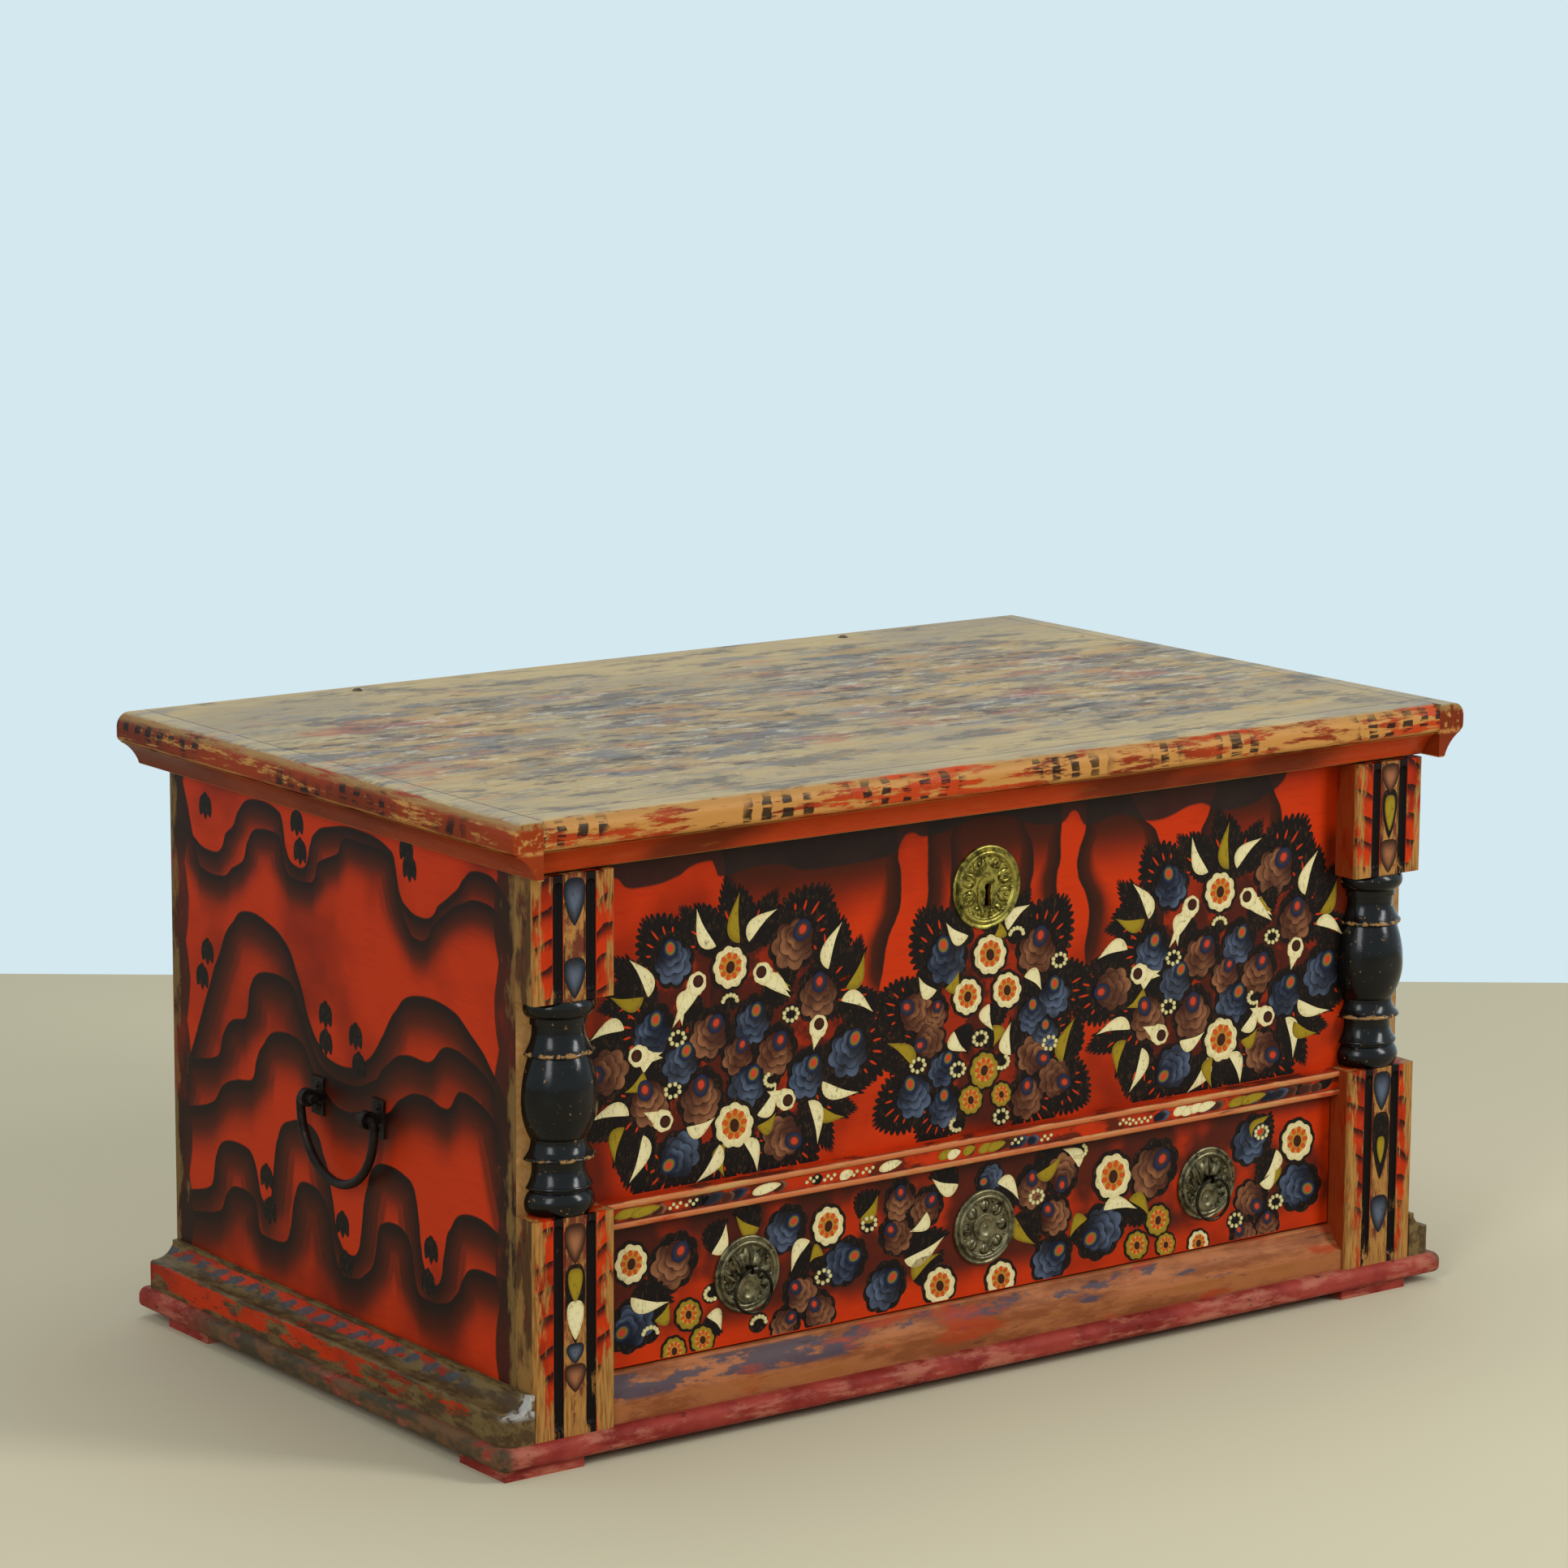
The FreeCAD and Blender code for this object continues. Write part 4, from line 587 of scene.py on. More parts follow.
def paint_lid_moulding(front):
    """Lid moulding: a rounded nose with black dabs over a plain band, both rubbed to ochre."""
    p = Paint("lid_front_moulding_paint" if front else "lid_side_moulding_paint", 0.4)
    run, along = (p.x, ALONG_X) if front else (p.y, ALONG_Y)
    rub = p.noise(8, 7, 0.72, (7, 1, 1) if front else (1, 7, 1))
    slow = p.noise(110, 3, 0.5, (2, 1, 1) if front else (1, 2, 1), (4, 1, 7))
    fresh = (178, 60, 18) if front else (142, 50, 12)
    base = p.mix(p.band(slow, 0.42, 0.62), fresh, (108, 38, 10))
    ochre = p.band(rub + p.band(slow, 0.3, 0.7) * (0.1 if front else -0.06), 0.5, 0.57)
    base = p.mix(ochre * p.band(p.z, NOSE_LOW - 2, NOSE_LOW + 1), base, (184, 130, 66))
    wave = p.math("SINE", run * (2 * math.pi / DAB_STEP) + p.noise(20, 2) * 4)
    dabs = p.band(wave, -0.15, 0.3)
    if front:
        groups = p.band(p.noise(95, 1, 0.4, shift=(2, 6, 3)), 0.45, 0.51)
    else:
        groups = p.band(slow, 0.48, 0.56)
    holes = p.band(p.noise(5, 6, 0.7, along, (1, 7, 5)), 0.44, 0.5)
    nose = p.band(p.z, NOSE_LOW + 1, NOSE_LOW + 3) * p.band(p.z, LID_TOP - 0.5, LID_TOP - 4)
    base = p.mix(dabs * groups * holes * nose * 0.92, base, "black")
    worn_edge = p.band(abs(p.z - NOSE_LOW), 3.5, 0.5) * p.band(rub, 0.4, 0.55)
    base = p.mix(worn_edge * 0.8, base, (186, 128, 66))
    top_edge = p.band(p.z, LID_TOP - 9, LID_TOP - 3) * p.band(rub, 0.38, 0.5)
    base = p.mix(top_edge * (0.5 if front else 0.9), base, (150, 116, 68))
    low = p.band(rub, 0.58, 0.7) * p.band(p.z, NOSE_LOW - 2, NOSE_LOW - 8) * 0.5
    base = p.mix(low, base, (160, 92, 36))
    top = lid_wear(p)[0]
    base = p.mix(p.band(p.z + rub * 4, LID_TOP + 0.2, LID_TOP + 1.6), base, top)
    base = p.mix(p.band(p.z, LID_LOW + 1.2, LID_LOW + 0.6), base, bare(p, along))
    return p.done(base, grain_of(p, along) - ochre * 0.4, 0.3)


def paint_rail():
    """Middle rail: rubbed reeds over and under a narrow red band."""
    p = Paint("mid_rail_paint", 0.45)
    rub = p.noise(15, 6, 0.65, (6, 1, 1))
    reed = p.band(p.y, BAND_FACE - 0.2, BAND_FACE - 0.8)
    base = red_ground(p, ALONG_X)
    base = p.mix(reed * p.band(rub, 0.28, 0.46), base, (186, 108, 62))
    base = p.mix(reed * p.band(rub, 0.52, 0.62), base, (180, 136, 82))
    groove = p.band(abs(p.y - (BAND_FACE - 0.6)), 0.7, 0.2)
    base = p.mix(groove * p.band(rub, 0.62, 0.5) * 0.8, base, (44, 26, 18))
    cracks = p.band(p.noise(7, 5, 0.6, (8, 1, 1), (2, 2, 2)), 0.62, 0.7)
    base = p.mix(cracks * 0.7, base, (58, 34, 22))
    stain = p.band(p.noise(30, 5, 0.6, (2, 1, 1), (5, 5, 5)), 0.48, 0.56)
    base = p.mix(stain * (1 - reed) * 0.85, base, "brown")
    return p.done(base, rub, 0.3)


# Lower and upper edge of the hollow in the front base moulding.
HOLLOW_LOW, HOLLOW_TOP = 45, 67
# Height of the leaves painted along a side base moulding, and half the step from one to the next.
SIDE_LEAVES, LEAF_STEP = 60.5, 15


def paint_front_moulding():
    """Front base moulding: tan and flaking, with grey-blue remains in the hollow."""
    p = Paint("front_moulding_paint", 0.5)
    rub = p.noise(24, 6, 0.66, (4, 1, 1))
    base = p.mix(p.band(rub, 0.4, 0.6), (126, 70, 38), (164, 102, 62))
    hollow = p.band(p.z, HOLLOW_LOW, HOLLOW_LOW + 3) * p.band(p.z, HOLLOW_TOP, HOLLOW_TOP - 3)
    cool = p.noise(30, 6, 0.68, (3, 1, 1), (7, 2, 3)) + p.band(p.x, 200, -400) * 0.07
    cool = p.band(cool, 0.53, 0.6)
    base = p.mix(hollow * cool * 0.9, base, (66, 62, 72))
    red = p.band(p.noise(34, 5, 0.6, (3, 1, 1), (2, 4, 4)), 0.55, 0.64)
    base = p.mix(red * 0.75, base, (160, 56, 24))
    low = p.band(p.z, HOLLOW_LOW + 1, HOLLOW_LOW - 1)
    base = p.mix(low * p.band(rub, 0.45, 0.7) * 0.7, base, (140, 84, 34))
    dirt = p.band(p.noise(8, 5, 0.65, (5, 1, 1), (1, 1, 6)), 0.62, 0.7)
    base = p.mix(dirt * 0.6, base, (62, 40, 26))
    return p.done(base, rub - hollow * cool * 0.4, 0.5)


def paint_side_moulding():
    """Side base moulding: red worn to olive-brown wood, with ragged grey leaves in the hollow."""
    p = Paint("side_moulding_paint", 0.45)
    rub = p.noise(20, 7, 0.7, (1, 4, 1))
    base = red_ground(p, ALONG_Y)
    patches = p.band(p.noise(12, 5, 0.65, (1, 3, 1), (6, 6, 6)), 0.4, 0.6)
    worn = p.mix(patches, (110, 90, 54), (74, 56, 34))
    edges = p.most(p.band(abs(p.z - 55), 4.5, 0.5), p.band(p.z, 65.5, 68.5),
                   p.band(p.z, 36, 28) * 0.7)
    front = p.band(p.y, -120, -300) * 0.2
    base = p.mix(p.band(rub + edges * 0.2 + front, 0.5, 0.58), base, worn)
    dirt = p.band(p.noise(6, 5, 0.65, (1, 3, 1), (3, 1, 1)), 0.58, 0.66)
    base = p.mix(dirt * 0.7, base, (52, 40, 28))
    cell = p.math("PINGPONG", p.y + (p.z - 60) * 1.6 + p.noise(30, 2) * 26, LEAF_STEP)
    petal = p.far(cell / 9, (p.z - SIDE_LEAVES) / 4.6) + (p.noise(5, 4, 0.6) - 0.5) * 1.3
    mark = p.band(petal, 1.0, 0.85) * p.band(p.y, -240, -190)
    base = p.mix(mark * 0.9, base, p.mix(p.noise(6, 3), (84, 88, 92), (30, 27, 28)))
    tip = p.band(p.y, BLOCK_FACE + 16, BLOCK_FACE + 7) * p.band(p.z, 48, 56) * p.band(p.x, 0, -1)
    base = p.mix(tip * p.band(p.noise(9, 4), 0.4, 0.55) * 0.8, base, (186, 186, 182))
    return p.done(base, rub, 0.6)


# Wear at the ends of the base board: where it begins and is full, across and from back to front.
BASE_ENDS, BASE_BACK = (520, 534), (230, 150)


def paint_base(feet=False):
    """Crimson base board, dusty on the front and worn to the wood along its ends."""
    p = Paint("foot_paint" if feet else "base_board_paint", 0.55)
    rub = p.noise(12, 6, 0.68, (4, 4, 1))
    base = p.mix(p.band(p.noise(50, 4), 0.4, 0.65), "crimson", (116, 34, 28))
    base = p.mix(p.band(rub, 0.46, 0.62) * 0.7, base, (172, 104, 82))
    base = p.mix(p.band(rub, 0.66, 0.74), base, (166, 124, 78))
    if not feet:
        ends = p.band(abs(p.x), *BASE_ENDS) * p.band(p.y, *BASE_BACK)
        patches = p.band(p.noise(20, 6, 0.66, (1, 2, 1)), 0.42, 0.6)
        muddy = p.mix(patches, (66, 58, 42), (104, 74, 48))
        ends = ends * p.band(p.noise(36, 5, 0.6, (1, 2, 1), (5, 1, 1)), 0.34, 0.46)
        base = p.mix(ends, base, muddy)
        dirt = p.band(p.noise(5, 4, 0.6, (3, 3, 1), (2, 9, 2)), 0.66, 0.72)
        base = p.mix(dirt * 0.8, base, (54, 30, 26))
    return p.done(base, rub, 0.9)


def paint_back():
    """Plain back: thin red-brown wash over the boards."""
    p = Paint("back_board_paint", 0.6)
    wash = p.mix(p.band(grain_of(p, ALONG_X, 4), 0.35, 0.7), (104, 52, 30), (74, 38, 24))
    wash = p.mix(p.band(p.noise(40, 5, 0.6, (3, 1, 1)), 0.56, 0.66) * 0.6, wash, "ochre")
    base = p.mix(p.band(p.y, BACK_FACE - 0.8, BACK_FACE - 0.2), bare(p, ALONG_X), wash)
    return p.done(base, grain_of(p, ALONG_X), 0.3)


def paint_bare(name, along):
    """Unpainted board."""
    p = Paint(name, 0.6)
    return p.done(bare(p, along), grain_of(p, along), 0.25)


def paint_inner_red():
    """Frame of the drawer opening: red in front, bare behind."""
    p = Paint("opening_frame_paint", 0.45)
    inside = p.band(p.y, FRONT_FACE + 6, FRONT_FACE + 12)
    base = p.mix(inside, red_ground(p, ALONG_X), bare(p, ALONG_X))
    return p.done(base, grain_of(p, ALONG_X), 0.15)


def paint_metal(name, metal, roughness, metallic, dark, grain, depth):
    """A metal, darker in patches and paler in small rubbed spots."""
    p = Paint(name, roughness, metallic)
    base = p.mix(p.band(p.noise(grain, 4, 0.6), 0.4, 0.66), metal, dark)
    rubbed = tuple(min(255, step * 2 + 24) for step in dark)
    spots = p.band(p.noise(grain * 0.35, 4, 0.6, shift=(4, 4, 4)), 0.62, 0.72)
    base = p.mix(spots * 0.5, base, rubbed)
    return p.done(base, p.noise(grain * 0.5, 4), depth)


def paint_petal(name, dark, light, ground):
    """Rose petals: dark towards the eye, pale along the scalloped rim, with a thin dark outline."""
    p = Paint(name, 0.4)
    rim, side = p.cover()
    pale = p.band(rim, 0.42, 0.9) * p.band(rim, 1.0, 0.94) * p.band(side, 0.15, 0.95)
    patchy = p.band(p.noise(26, 3), 0.36, 0.64) * 0.62 + p.noise(5, 3) * 0.3
    body = p.mix(p.band(p.noise(60, 2, 0.5, shift=(3, 1, 2)), 0.42, 0.62) * 0.7, dark, ground)
    base = p.mix(pale * patchy, body, light)
    base = p.mix(p.band(rim, 0.955, 0.985) * 0.8, base, "black")
    base = p.mix(p.band(p.noise(2.6, 3, 0.6), 0.66, 0.72) * 0.3, base, "ochre")
    return p.done(base, p.noise(3, 3), 0.08)


def paint_eye(name):
    """Eye of a rose: red middle, green-gold or plum ring, blue rim."""
    p = Paint(name, 0.4)
    rim, kind = p.cover()
    ring = p.mix(kind, (58, 26, 30), (118, 106, 34))
    base = p.mix(p.band(rim, 0.3, 0.5), (186, 58, 38), ring)
    base = p.mix(p.band(rim, 0.56, 0.74), base, (30, 38, 66))
    base = p.mix(p.band(rim, 0.88, 1.0) * 0.8, base, "black")
    return p.done(base, p.noise(3, 3), 0.08)


def paint_stroke(name, body, rim_shade, spread=0.6, cover=0.55):
    """One brush colour, a little thinner towards the rim and crackled."""
    p = Paint(name)
    rim = p.cover()[0]
    base = p.mix(p.band(rim, spread, 1.0) * cover, body, rim_shade)
    crackle = p.band(p.noise(2.6, 4, 0.7, (1, 1, 2)), 0.55, 0.66)
    base = p.mix(crackle * 0.42, base, (84, 58, 34))
    rubbed = p.band(p.noise(9, 5, 0.7, shift=(4, 2, 7)), 0.6, 0.68)
    base = p.mix(rubbed * 0.5, base, (60, 38, 24))
    return p.done(base, p.noise(3, 3), 0.08)


# The brush colours of the flowers: how each is laid on, and with which paints.
BRUSHES = {
    "shadow": (paint_stroke, "black", (34, 20, 16), 0.8),
    "blue": (paint_petal, "blue", "pale_blue", (34, 32, 34)),
    "brown": (paint_petal, "plum", "rose", (62, 34, 26)),
    "slit": (paint_stroke, "red", "deep_red"),
    "eye": (paint_eye,),
    "cream": (paint_stroke, "cream", (196, 178, 120)),
    "olive": (paint_stroke, "olive", (104, 82, 22)),
    "olive_daisy": (paint_stroke, (156, 130, 34), (120, 96, 26)),
    "ring": (paint_stroke, (176, 116, 40), (206, 170, 84)),
    "dot": (paint_stroke, "orange", (150, 44, 20)),
    "core": (paint_stroke, (58, 26, 16), (26, 16, 12)),
    "bead": (paint_stroke, (206, 196, 140), (120, 104, 60)),
    "blue_drop": (paint_stroke, (84, 94, 110), (14, 16, 22), 0.1, 0.95),
    "brown_drop": (paint_stroke, (150, 96, 64), (36, 18, 13), 0.1, 0.95),
}


def brush(kind):
    """The material of one brush colour."""
    lay_on, *paints = BRUSHES[kind]
    return lay_on(kind + "_brush", *paints)


# Strokes of one paint that lie one above the other before the count starts again, and the name of a
# class of material.
STROKES_HIGH = 48
PAINT_SLOT = "red_paint"


class Canvas:
    """A painted face of the chest: where it lies, its right and up, and what it moves with."""

    def __init__(self, name, body, origin, right, up, bounds=None):
        self.name, self.body, self.bounds = name, body, bounds
        self.origin, self.right, self.up = Vector(origin) * MM, Vector(right), Vector(up)
        self.out = self.right.cross(self.up)
        self.strokes, self.counts = {}, {}

    def mesh(self, kind):
        """The strokes of one paint so far."""
        if kind not in self.strokes:
            made = bmesh.new()
            made.loops.layers.uv.new("stroke")
            self.strokes[kind] = made
        return self.strokes[kind]

    def stroke(self, kind, outline, middle, marks=24, layer=0.0, tone=None, dome=0.0):
        """Adds one stroke. outline(angle) gives a place on its rim in millimetres of the canvas,
        marks says how many are taken, and its middle stands up by dome. Without a tone of its own
        the stroke is pale on the side where the outline starts and dark on the other."""
        made = self.mesh(kind)
        uv = made.loops.layers.uv["stroke"]
        number = self.counts.get(kind, 0)
        self.counts[kind] = number + 1
        lift = layer * MM + number % STROKES_HIGH * size_of("stroke_step")
        fan = bmesh.ops.create_circle(made, cap_ends=True, cap_tris=True, segments=marks,
                                      radius=1.0)
        for point in fan["verts"]:
            at_rim = point.co.length > 0.5
            angle = math.atan2(point.co.y, point.co.x)
            across, high = outline(angle) if at_rim else middle
            side = 0.5 + 0.5 * math.cos(angle) if at_rim else 0.5
            for loop in point.link_loops:
                loop[uv].uv = (1.0 if at_rim else 0.0, side if tone is None else tone)
            point.co = self.origin + self.right * across * MM + self.up * high * MM
            point.co += self.out * (lift if at_rim else lift + dome * MM)

    def trim(self, made):
        """Turns every stroke's face outward and cuts off what runs over the edge of the canvas."""
        made.normal_update()
        turned = [face for face in made.faces if face.normal.dot(self.out) < 0]
        bmesh.ops.reverse_faces(made, faces=turned)
        if not self.bounds:
            return
        left, right, low, high = self.bounds
        for axis, sign, place in ((self.right, -1, left), (self.right, 1, right),
                                  (self.up, -1, low), (self.up, 1, high)):
            bmesh.ops.bisect_plane(made, geom=made.verts[:] + made.edges[:] + made.faces[:],
                                   plane_co=self.origin + axis * place * MM, plane_no=axis * sign,
                                   clear_outer=True)

    def finish(self, slot=PAINT_SLOT, metal=None):
        """Turns the strokes into pieces, one for each paint, and hangs them on the moving body.
        Chased work has its metal instead of a paint."""
        for kind, made in self.strokes.items():
            self.trim(made)
            data = bpy.data.meshes.new("%s_%s" % (self.name, kind))
            made.to_mesh(data)
            made.free()
            piece = bpy.data.objects.new(data.name, data)
            bpy.context.scene.collection.objects.link(piece)
            data.materials.append(metal or brush(kind))
            data.polygons.foreach_set("use_smooth", [kind == "leaf"] * len(data.polygons))
            skin = piece.modifiers.new("paint build", "SOLIDIFY")
            skin.thickness = size_of("paint_build")
            skin.offset = -1.0
            piece.visible_shadow = kind == "leaf"
            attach(piece, self.body)


def blob(centre, turn, long_way, wide_way, lobes=0, bite=0.0):
    """Outline of an oval turned on the canvas, with lobes cut into its rim."""
    cos, sin = math.cos(turn), math.sin(turn)

    def outline(angle):
        reach = 1 - bite + bite * abs(math.cos(lobes * angle / 2)) if lobes else 1.0
        a, b = math.cos(angle) * long_way * reach, math.sin(angle) * wide_way * reach
        return centre[0] + a * cos - b * sin, centre[1] + a * sin + b * cos
    return outline


# How deep the lobes of a leaf's rim are, as a share of its belly.
LOBE_DEPTH = 0.2


def leaf(base, tip, wide, flat=0.35, point=0.7, bow=0.0, lobes=0, neck=0.0):
    """Outline and middle of a leaf from base to tip: one side bellied by wide, the other a share of
    it, pointed at the tip, with lobes along its rim if asked."""
    run, rise = tip[0] - base[0], tip[1] - base[1]
    far = math.hypot(run, rise)
    along, across = (run / far, rise / far), (-rise / far, run / far)

    def outline(angle):
        angle = (angle + math.pi) % (2 * math.pi) - math.pi
        share = (1 + math.cos(angle)) / 2
        belly = math.sin(angle) * wide * (1 if math.sin(angle) > 0 else flat)
        belly *= max(math.sin(abs(angle) / 2), 0.0) ** point * max(math.cos(angle / 2), 0.0) ** neck
        reach = 1.0
        if lobes:
            bump = abs(math.sin(lobes * angle / 2)) * LOBE_DEPTH
            belly *= 1 + bump
            reach += bump * share * 0.5
        belly += bow * 4 * share * (1 - share)
        return tuple(base[n] + along[n] * far * share * reach + across[n] * belly for n in (0, 1))

    return outline, tuple((base[n] + tip[n]) / 2 + across[n] * bow * 0.9 for n in (0, 1))


# How high the layers of paint lie over the board, in millimetres, from the shadows to the beads.
LAYER = {"shade": 0.0212, "comb": 0.06, "rose": 0.3, "leaf": 0.5512, "daisy": 0.9, "dot": 1.1}
# A rose is laid a little larger than its place is wide. Its petal fans, from the outermost: place
# along the rose, length and width as shares of its radius, and lobes.
ROSE_SPREAD = 1.1
ROSE_FANS = ((0.22, 1.04, 1.02, 7), (-0.02, 0.84, 0.84, 6), (-0.24, 0.62, 0.62, 5))
# How far each fan lies over the one before, and the blue roses over the brown ones.
FAN_STEP, BLUE_STEP = 0.0508, 0.00125
DAISY_DOTS = 9


def paint_rose(canvas, kind, x, z, radius, degrees):
    """A painted rose: petal fans stepping up to a round eye."""
    turn = math.radians(degrees)
    radius *= ROSE_SPREAD

    def at(share):
        return x + math.cos(turn) * radius * share, z + math.sin(turn) * radius * share

    ground = blob(at(0.05), turn, radius * 1.36, radius * 1.18, 9, 0.1)
    canvas.stroke("shadow", ground, at(0.05), 36, LAYER["shade"], 0.0)
    for number, (place, long_way, wide_way, lobes) in enumerate(ROSE_FANS):
        twist = turn + number * 0.4 * (x % 3 - 1)
        fan = blob(at(place), twist, radius * long_way, radius * wide_way, lobes, 0.2)
        layer = LAYER["rose"] + number * FAN_STEP + (BLUE_STEP if kind == "blue" else 0.0)
        canvas.stroke(kind, fan, at(place - 0.2), lobes * 8, layer)
    canvas.stroke("eye", blob(at(-0.46), turn, radius * 0.46, radius * 0.38), at(-0.52), 20,
                  LAYER["rose"] + 0.25, 0.9 if kind == "blue" else 0.1)


def paint_daisy(canvas, kind, x, z, radius, turn):
    """A scalloped daisy with a ring of dots round a dark middle."""
    middle, ring_high = (x, z), z + radius * 0.05
    canvas.stroke("shadow", blob(middle, turn, radius * 1.2, radius * 1.25, 9, 0.08), middle, 27,
                  LAYER["shade"] + 0.2994, 0.0)
    canvas.stroke(kind, blob(middle, turn, radius, radius * 1.06, 9, 0.12), middle, 45,
                  LAYER["daisy"])
    canvas.stroke("ring", blob((x, ring_high), turn, radius * 0.66, radius * 0.68), middle, 24,
                  LAYER["daisy"] + 0.14, 0.5)
    for number in range(DAISY_DOTS):
        angle = 2 * math.pi * number / DAISY_DOTS + turn
        at = (x + math.cos(angle) * radius * 0.52, ring_high + math.sin(angle) * radius * 0.54)
        canvas.stroke("dot", blob(at, angle, radius * 0.16, radius * 0.12), at, 10,
                      LAYER["daisy"] + 0.28, 0.5)
    canvas.stroke("core", blob(middle, turn + 1, radius * 0.3, radius * 0.24), middle, 16,
                  LAYER["daisy"] + 0.42, 0.5)


def paint_leaf(canvas, kind, base_x, base_z, tip_x, tip_z, wide):
    """A pale half leaf with its black half beside it, scalloped along the edge."""
    wide *= 1 if (base_x + base_z + tip_x) % 10 else -1
    base, tip = (base_x, base_z), (tip_x, tip_z)
    pale = leaf(base, tip, wide * 1.42, 0.14, 1.9, wide * 0.2, 0, 0.1)
    canvas.stroke(kind, *pale, 28, LAYER["leaf"])
    far_tip = (tip_x + (tip_x - base_x) * 0.06, tip_z + (tip_z - base_z) * 0.06)
    dark = leaf(base, far_tip, -wide * 1.25, 0.5, 0.5, -wide * 0.3, 22)
    canvas.stroke("shadow", *dark, 88, LAYER["shade"] + 0.2, 0.0)


def paint_flame(canvas, x, z, radius, degrees, long_way=2.1, wide_way=1.12, slits=5):
    """A black flame with a scalloped rim behind a flower or leaf, slit to the red ground."""
    turn = math.radians(degrees)

    def at(angle, out):
        return x + math.cos(angle) * out, z + math.sin(angle) * out

    flame = leaf(at(turn, -radius * 0.5), at(turn, radius * long_way), radius * wide_way * 1.25,
                 1.0, 0.5, 0.0, 30)
    canvas.stroke("shadow", *flame, 120, LAYER["comb"], 0.0)
    for number in range(slits):
        share = number / (slits - 1) * 2 - 1
        angle = turn + math.radians(share * 40)
        far = radius * (1.3 + 0.32 * (1 - abs(share)))
        slit = leaf(at(angle, radius * 1.05), at(angle, far), radius * 0.055, 1.0, 0.3)
        canvas.stroke("slit", *slit, 10, LAYER["comb"] + 0.0812, 0.5)


def paint_flames(canvas, roses, leaves, across, high, wide, tall):
    """Flames behind whatever points out of a wreath."""

    def out(x, z):
        return math.hypot((x - across) / wide, (z - high) / tall)

    for x, z, radius, _ in roses:
        if 0.6 < out(x, z) < 1.1:
            way = math.degrees(math.atan2(z - high, x - across))
            paint_flame(canvas, x, z, radius * 1.2, way)
    for base_x, base_z, tip_x, tip_z in leaves:
        start, end = out(base_x, base_z), out(tip_x, tip_z)
        if end > max(0.85, start + 0.1) and start < 1.05:
            far = math.hypot(tip_x - base_x, tip_z - base_z)
            way = math.degrees(math.atan2(tip_z - base_z, tip_x - base_x))
            paint_flame(canvas, base_x, base_z, far * 0.5, way + 14, 2.5, 0.62, 4)


def paint_bud(canvas, x, z, tail_x, tail_z):
    """A cream bud, dark in its mouth, running out in a tail."""
    turn = math.atan2(tail_z - z, tail_x - x)

    def at(out):
        return x + math.cos(turn) * out, z + math.sin(turn) * out

    canvas.stroke("cream", *leaf(at(-8), (tail_x, tail_z), 10, 1.0, 1.5), 24, LAYER["leaf"] + 0.1)
    canvas.stroke("cream", blob((x, z), turn, 11, 10, 7, 0.1), (x, z), 25, LAYER["leaf"] + 0.24)
    canvas.stroke("core", blob(at(-2.5), turn, 5.6, 5.6), at(-3), 16, LAYER["leaf"] + 0.4, 0.5)


def paint_beads(canvas, x, z, number, reach, degrees, sweep):
    """A ring or arc of small cream dots on a black ground."""
    radius = size_of("bead") / MM
    canvas.stroke("shadow", blob((x, z), 0.3, reach + 3, reach * 0.8 + 3), (x, z), 16,
                  LAYER["comb"] + 0.1, 0.0)
    for count in range(number):
        angle = math.radians(degrees + sweep * count / number)
        at = (x + math.cos(angle) * reach, z + math.sin(angle) * reach * 0.75)
        canvas.stroke("bead", blob(at, 0, radius, radius), at, 9, LAYER["dot"])


# What a bunch of flowers holds, round its own middle. Blue and brown roses: place across, height,
# radius and the way from eye to petals. Daisies: place across, height and radius. Buds: mouth and
# tail. Cream and olive leaves: base and tip. Beads: middle of their ring.
WREATH = {
    "blue": ((-65, 80, 18, -75), (-85, 20, 18, -105), (20, 15, 17, -110), (-55, -10, 17, -120),
             (15, -40, 18, -125), (80, -40, 18, -120), (125, -25, 20, -120), (-60, -95, 19, 30)),
    "brown": ((65, 80, 21, -130), (90, 30, 19, -95), (-25, 10, 18, -125), (45, -15, 18, -115),
              (-35, -45, 20, -90), (-135, -10, 19, 5), (-90, -40, 19, -70), (55, -95, 19, 160),
              (5, -12, 15, -115)),
    "daisies": ((-5, 65, 18), (0, -75, 20)),
    "buds": ((-40, 55, -65, 20), (30, 55, 60, 30), (-100, 0, -75, -5), (-75, -60, -95, -50),
             (90, 0, 85, -20), (55, -60, 35, -50)),
    "cream": ((-20, 85, -40, 120), (15, 85, 45, 110), (-90, 50, -110, 85), (-115, 25, -150, 20),
              (100, 50, 115, 90), (115, 20, 150, 5), (-45, 50, -55, 20), (30, 45, 60, 35),
              (-95, -15, -75, 0), (-110, -50, -150, -50), (-95, -70, -110, -110),
              (-50, -70, -20, -65), (25, -70, 45, -45), (95, -50, 135, -65), (80, -65, 90, -105),
              (-15, -90, -40, -120), (10, -90, 25, -120)),
    "olive": ((5, 85, 5, 130), (-95, 50, -130, 55), (120, 30, 140, 60), (45, 55, 60, 40),
              (-95, -15, -115, -30), (-115, -60, -125, -90), (25, -80, 45, -70),
              (90, -70, 120, -85), (-10, -90, -10, -120)),
    "beads": ((-5, 35), (-60, 10), (60, 15), (40, -40), (-65, -35)),
}
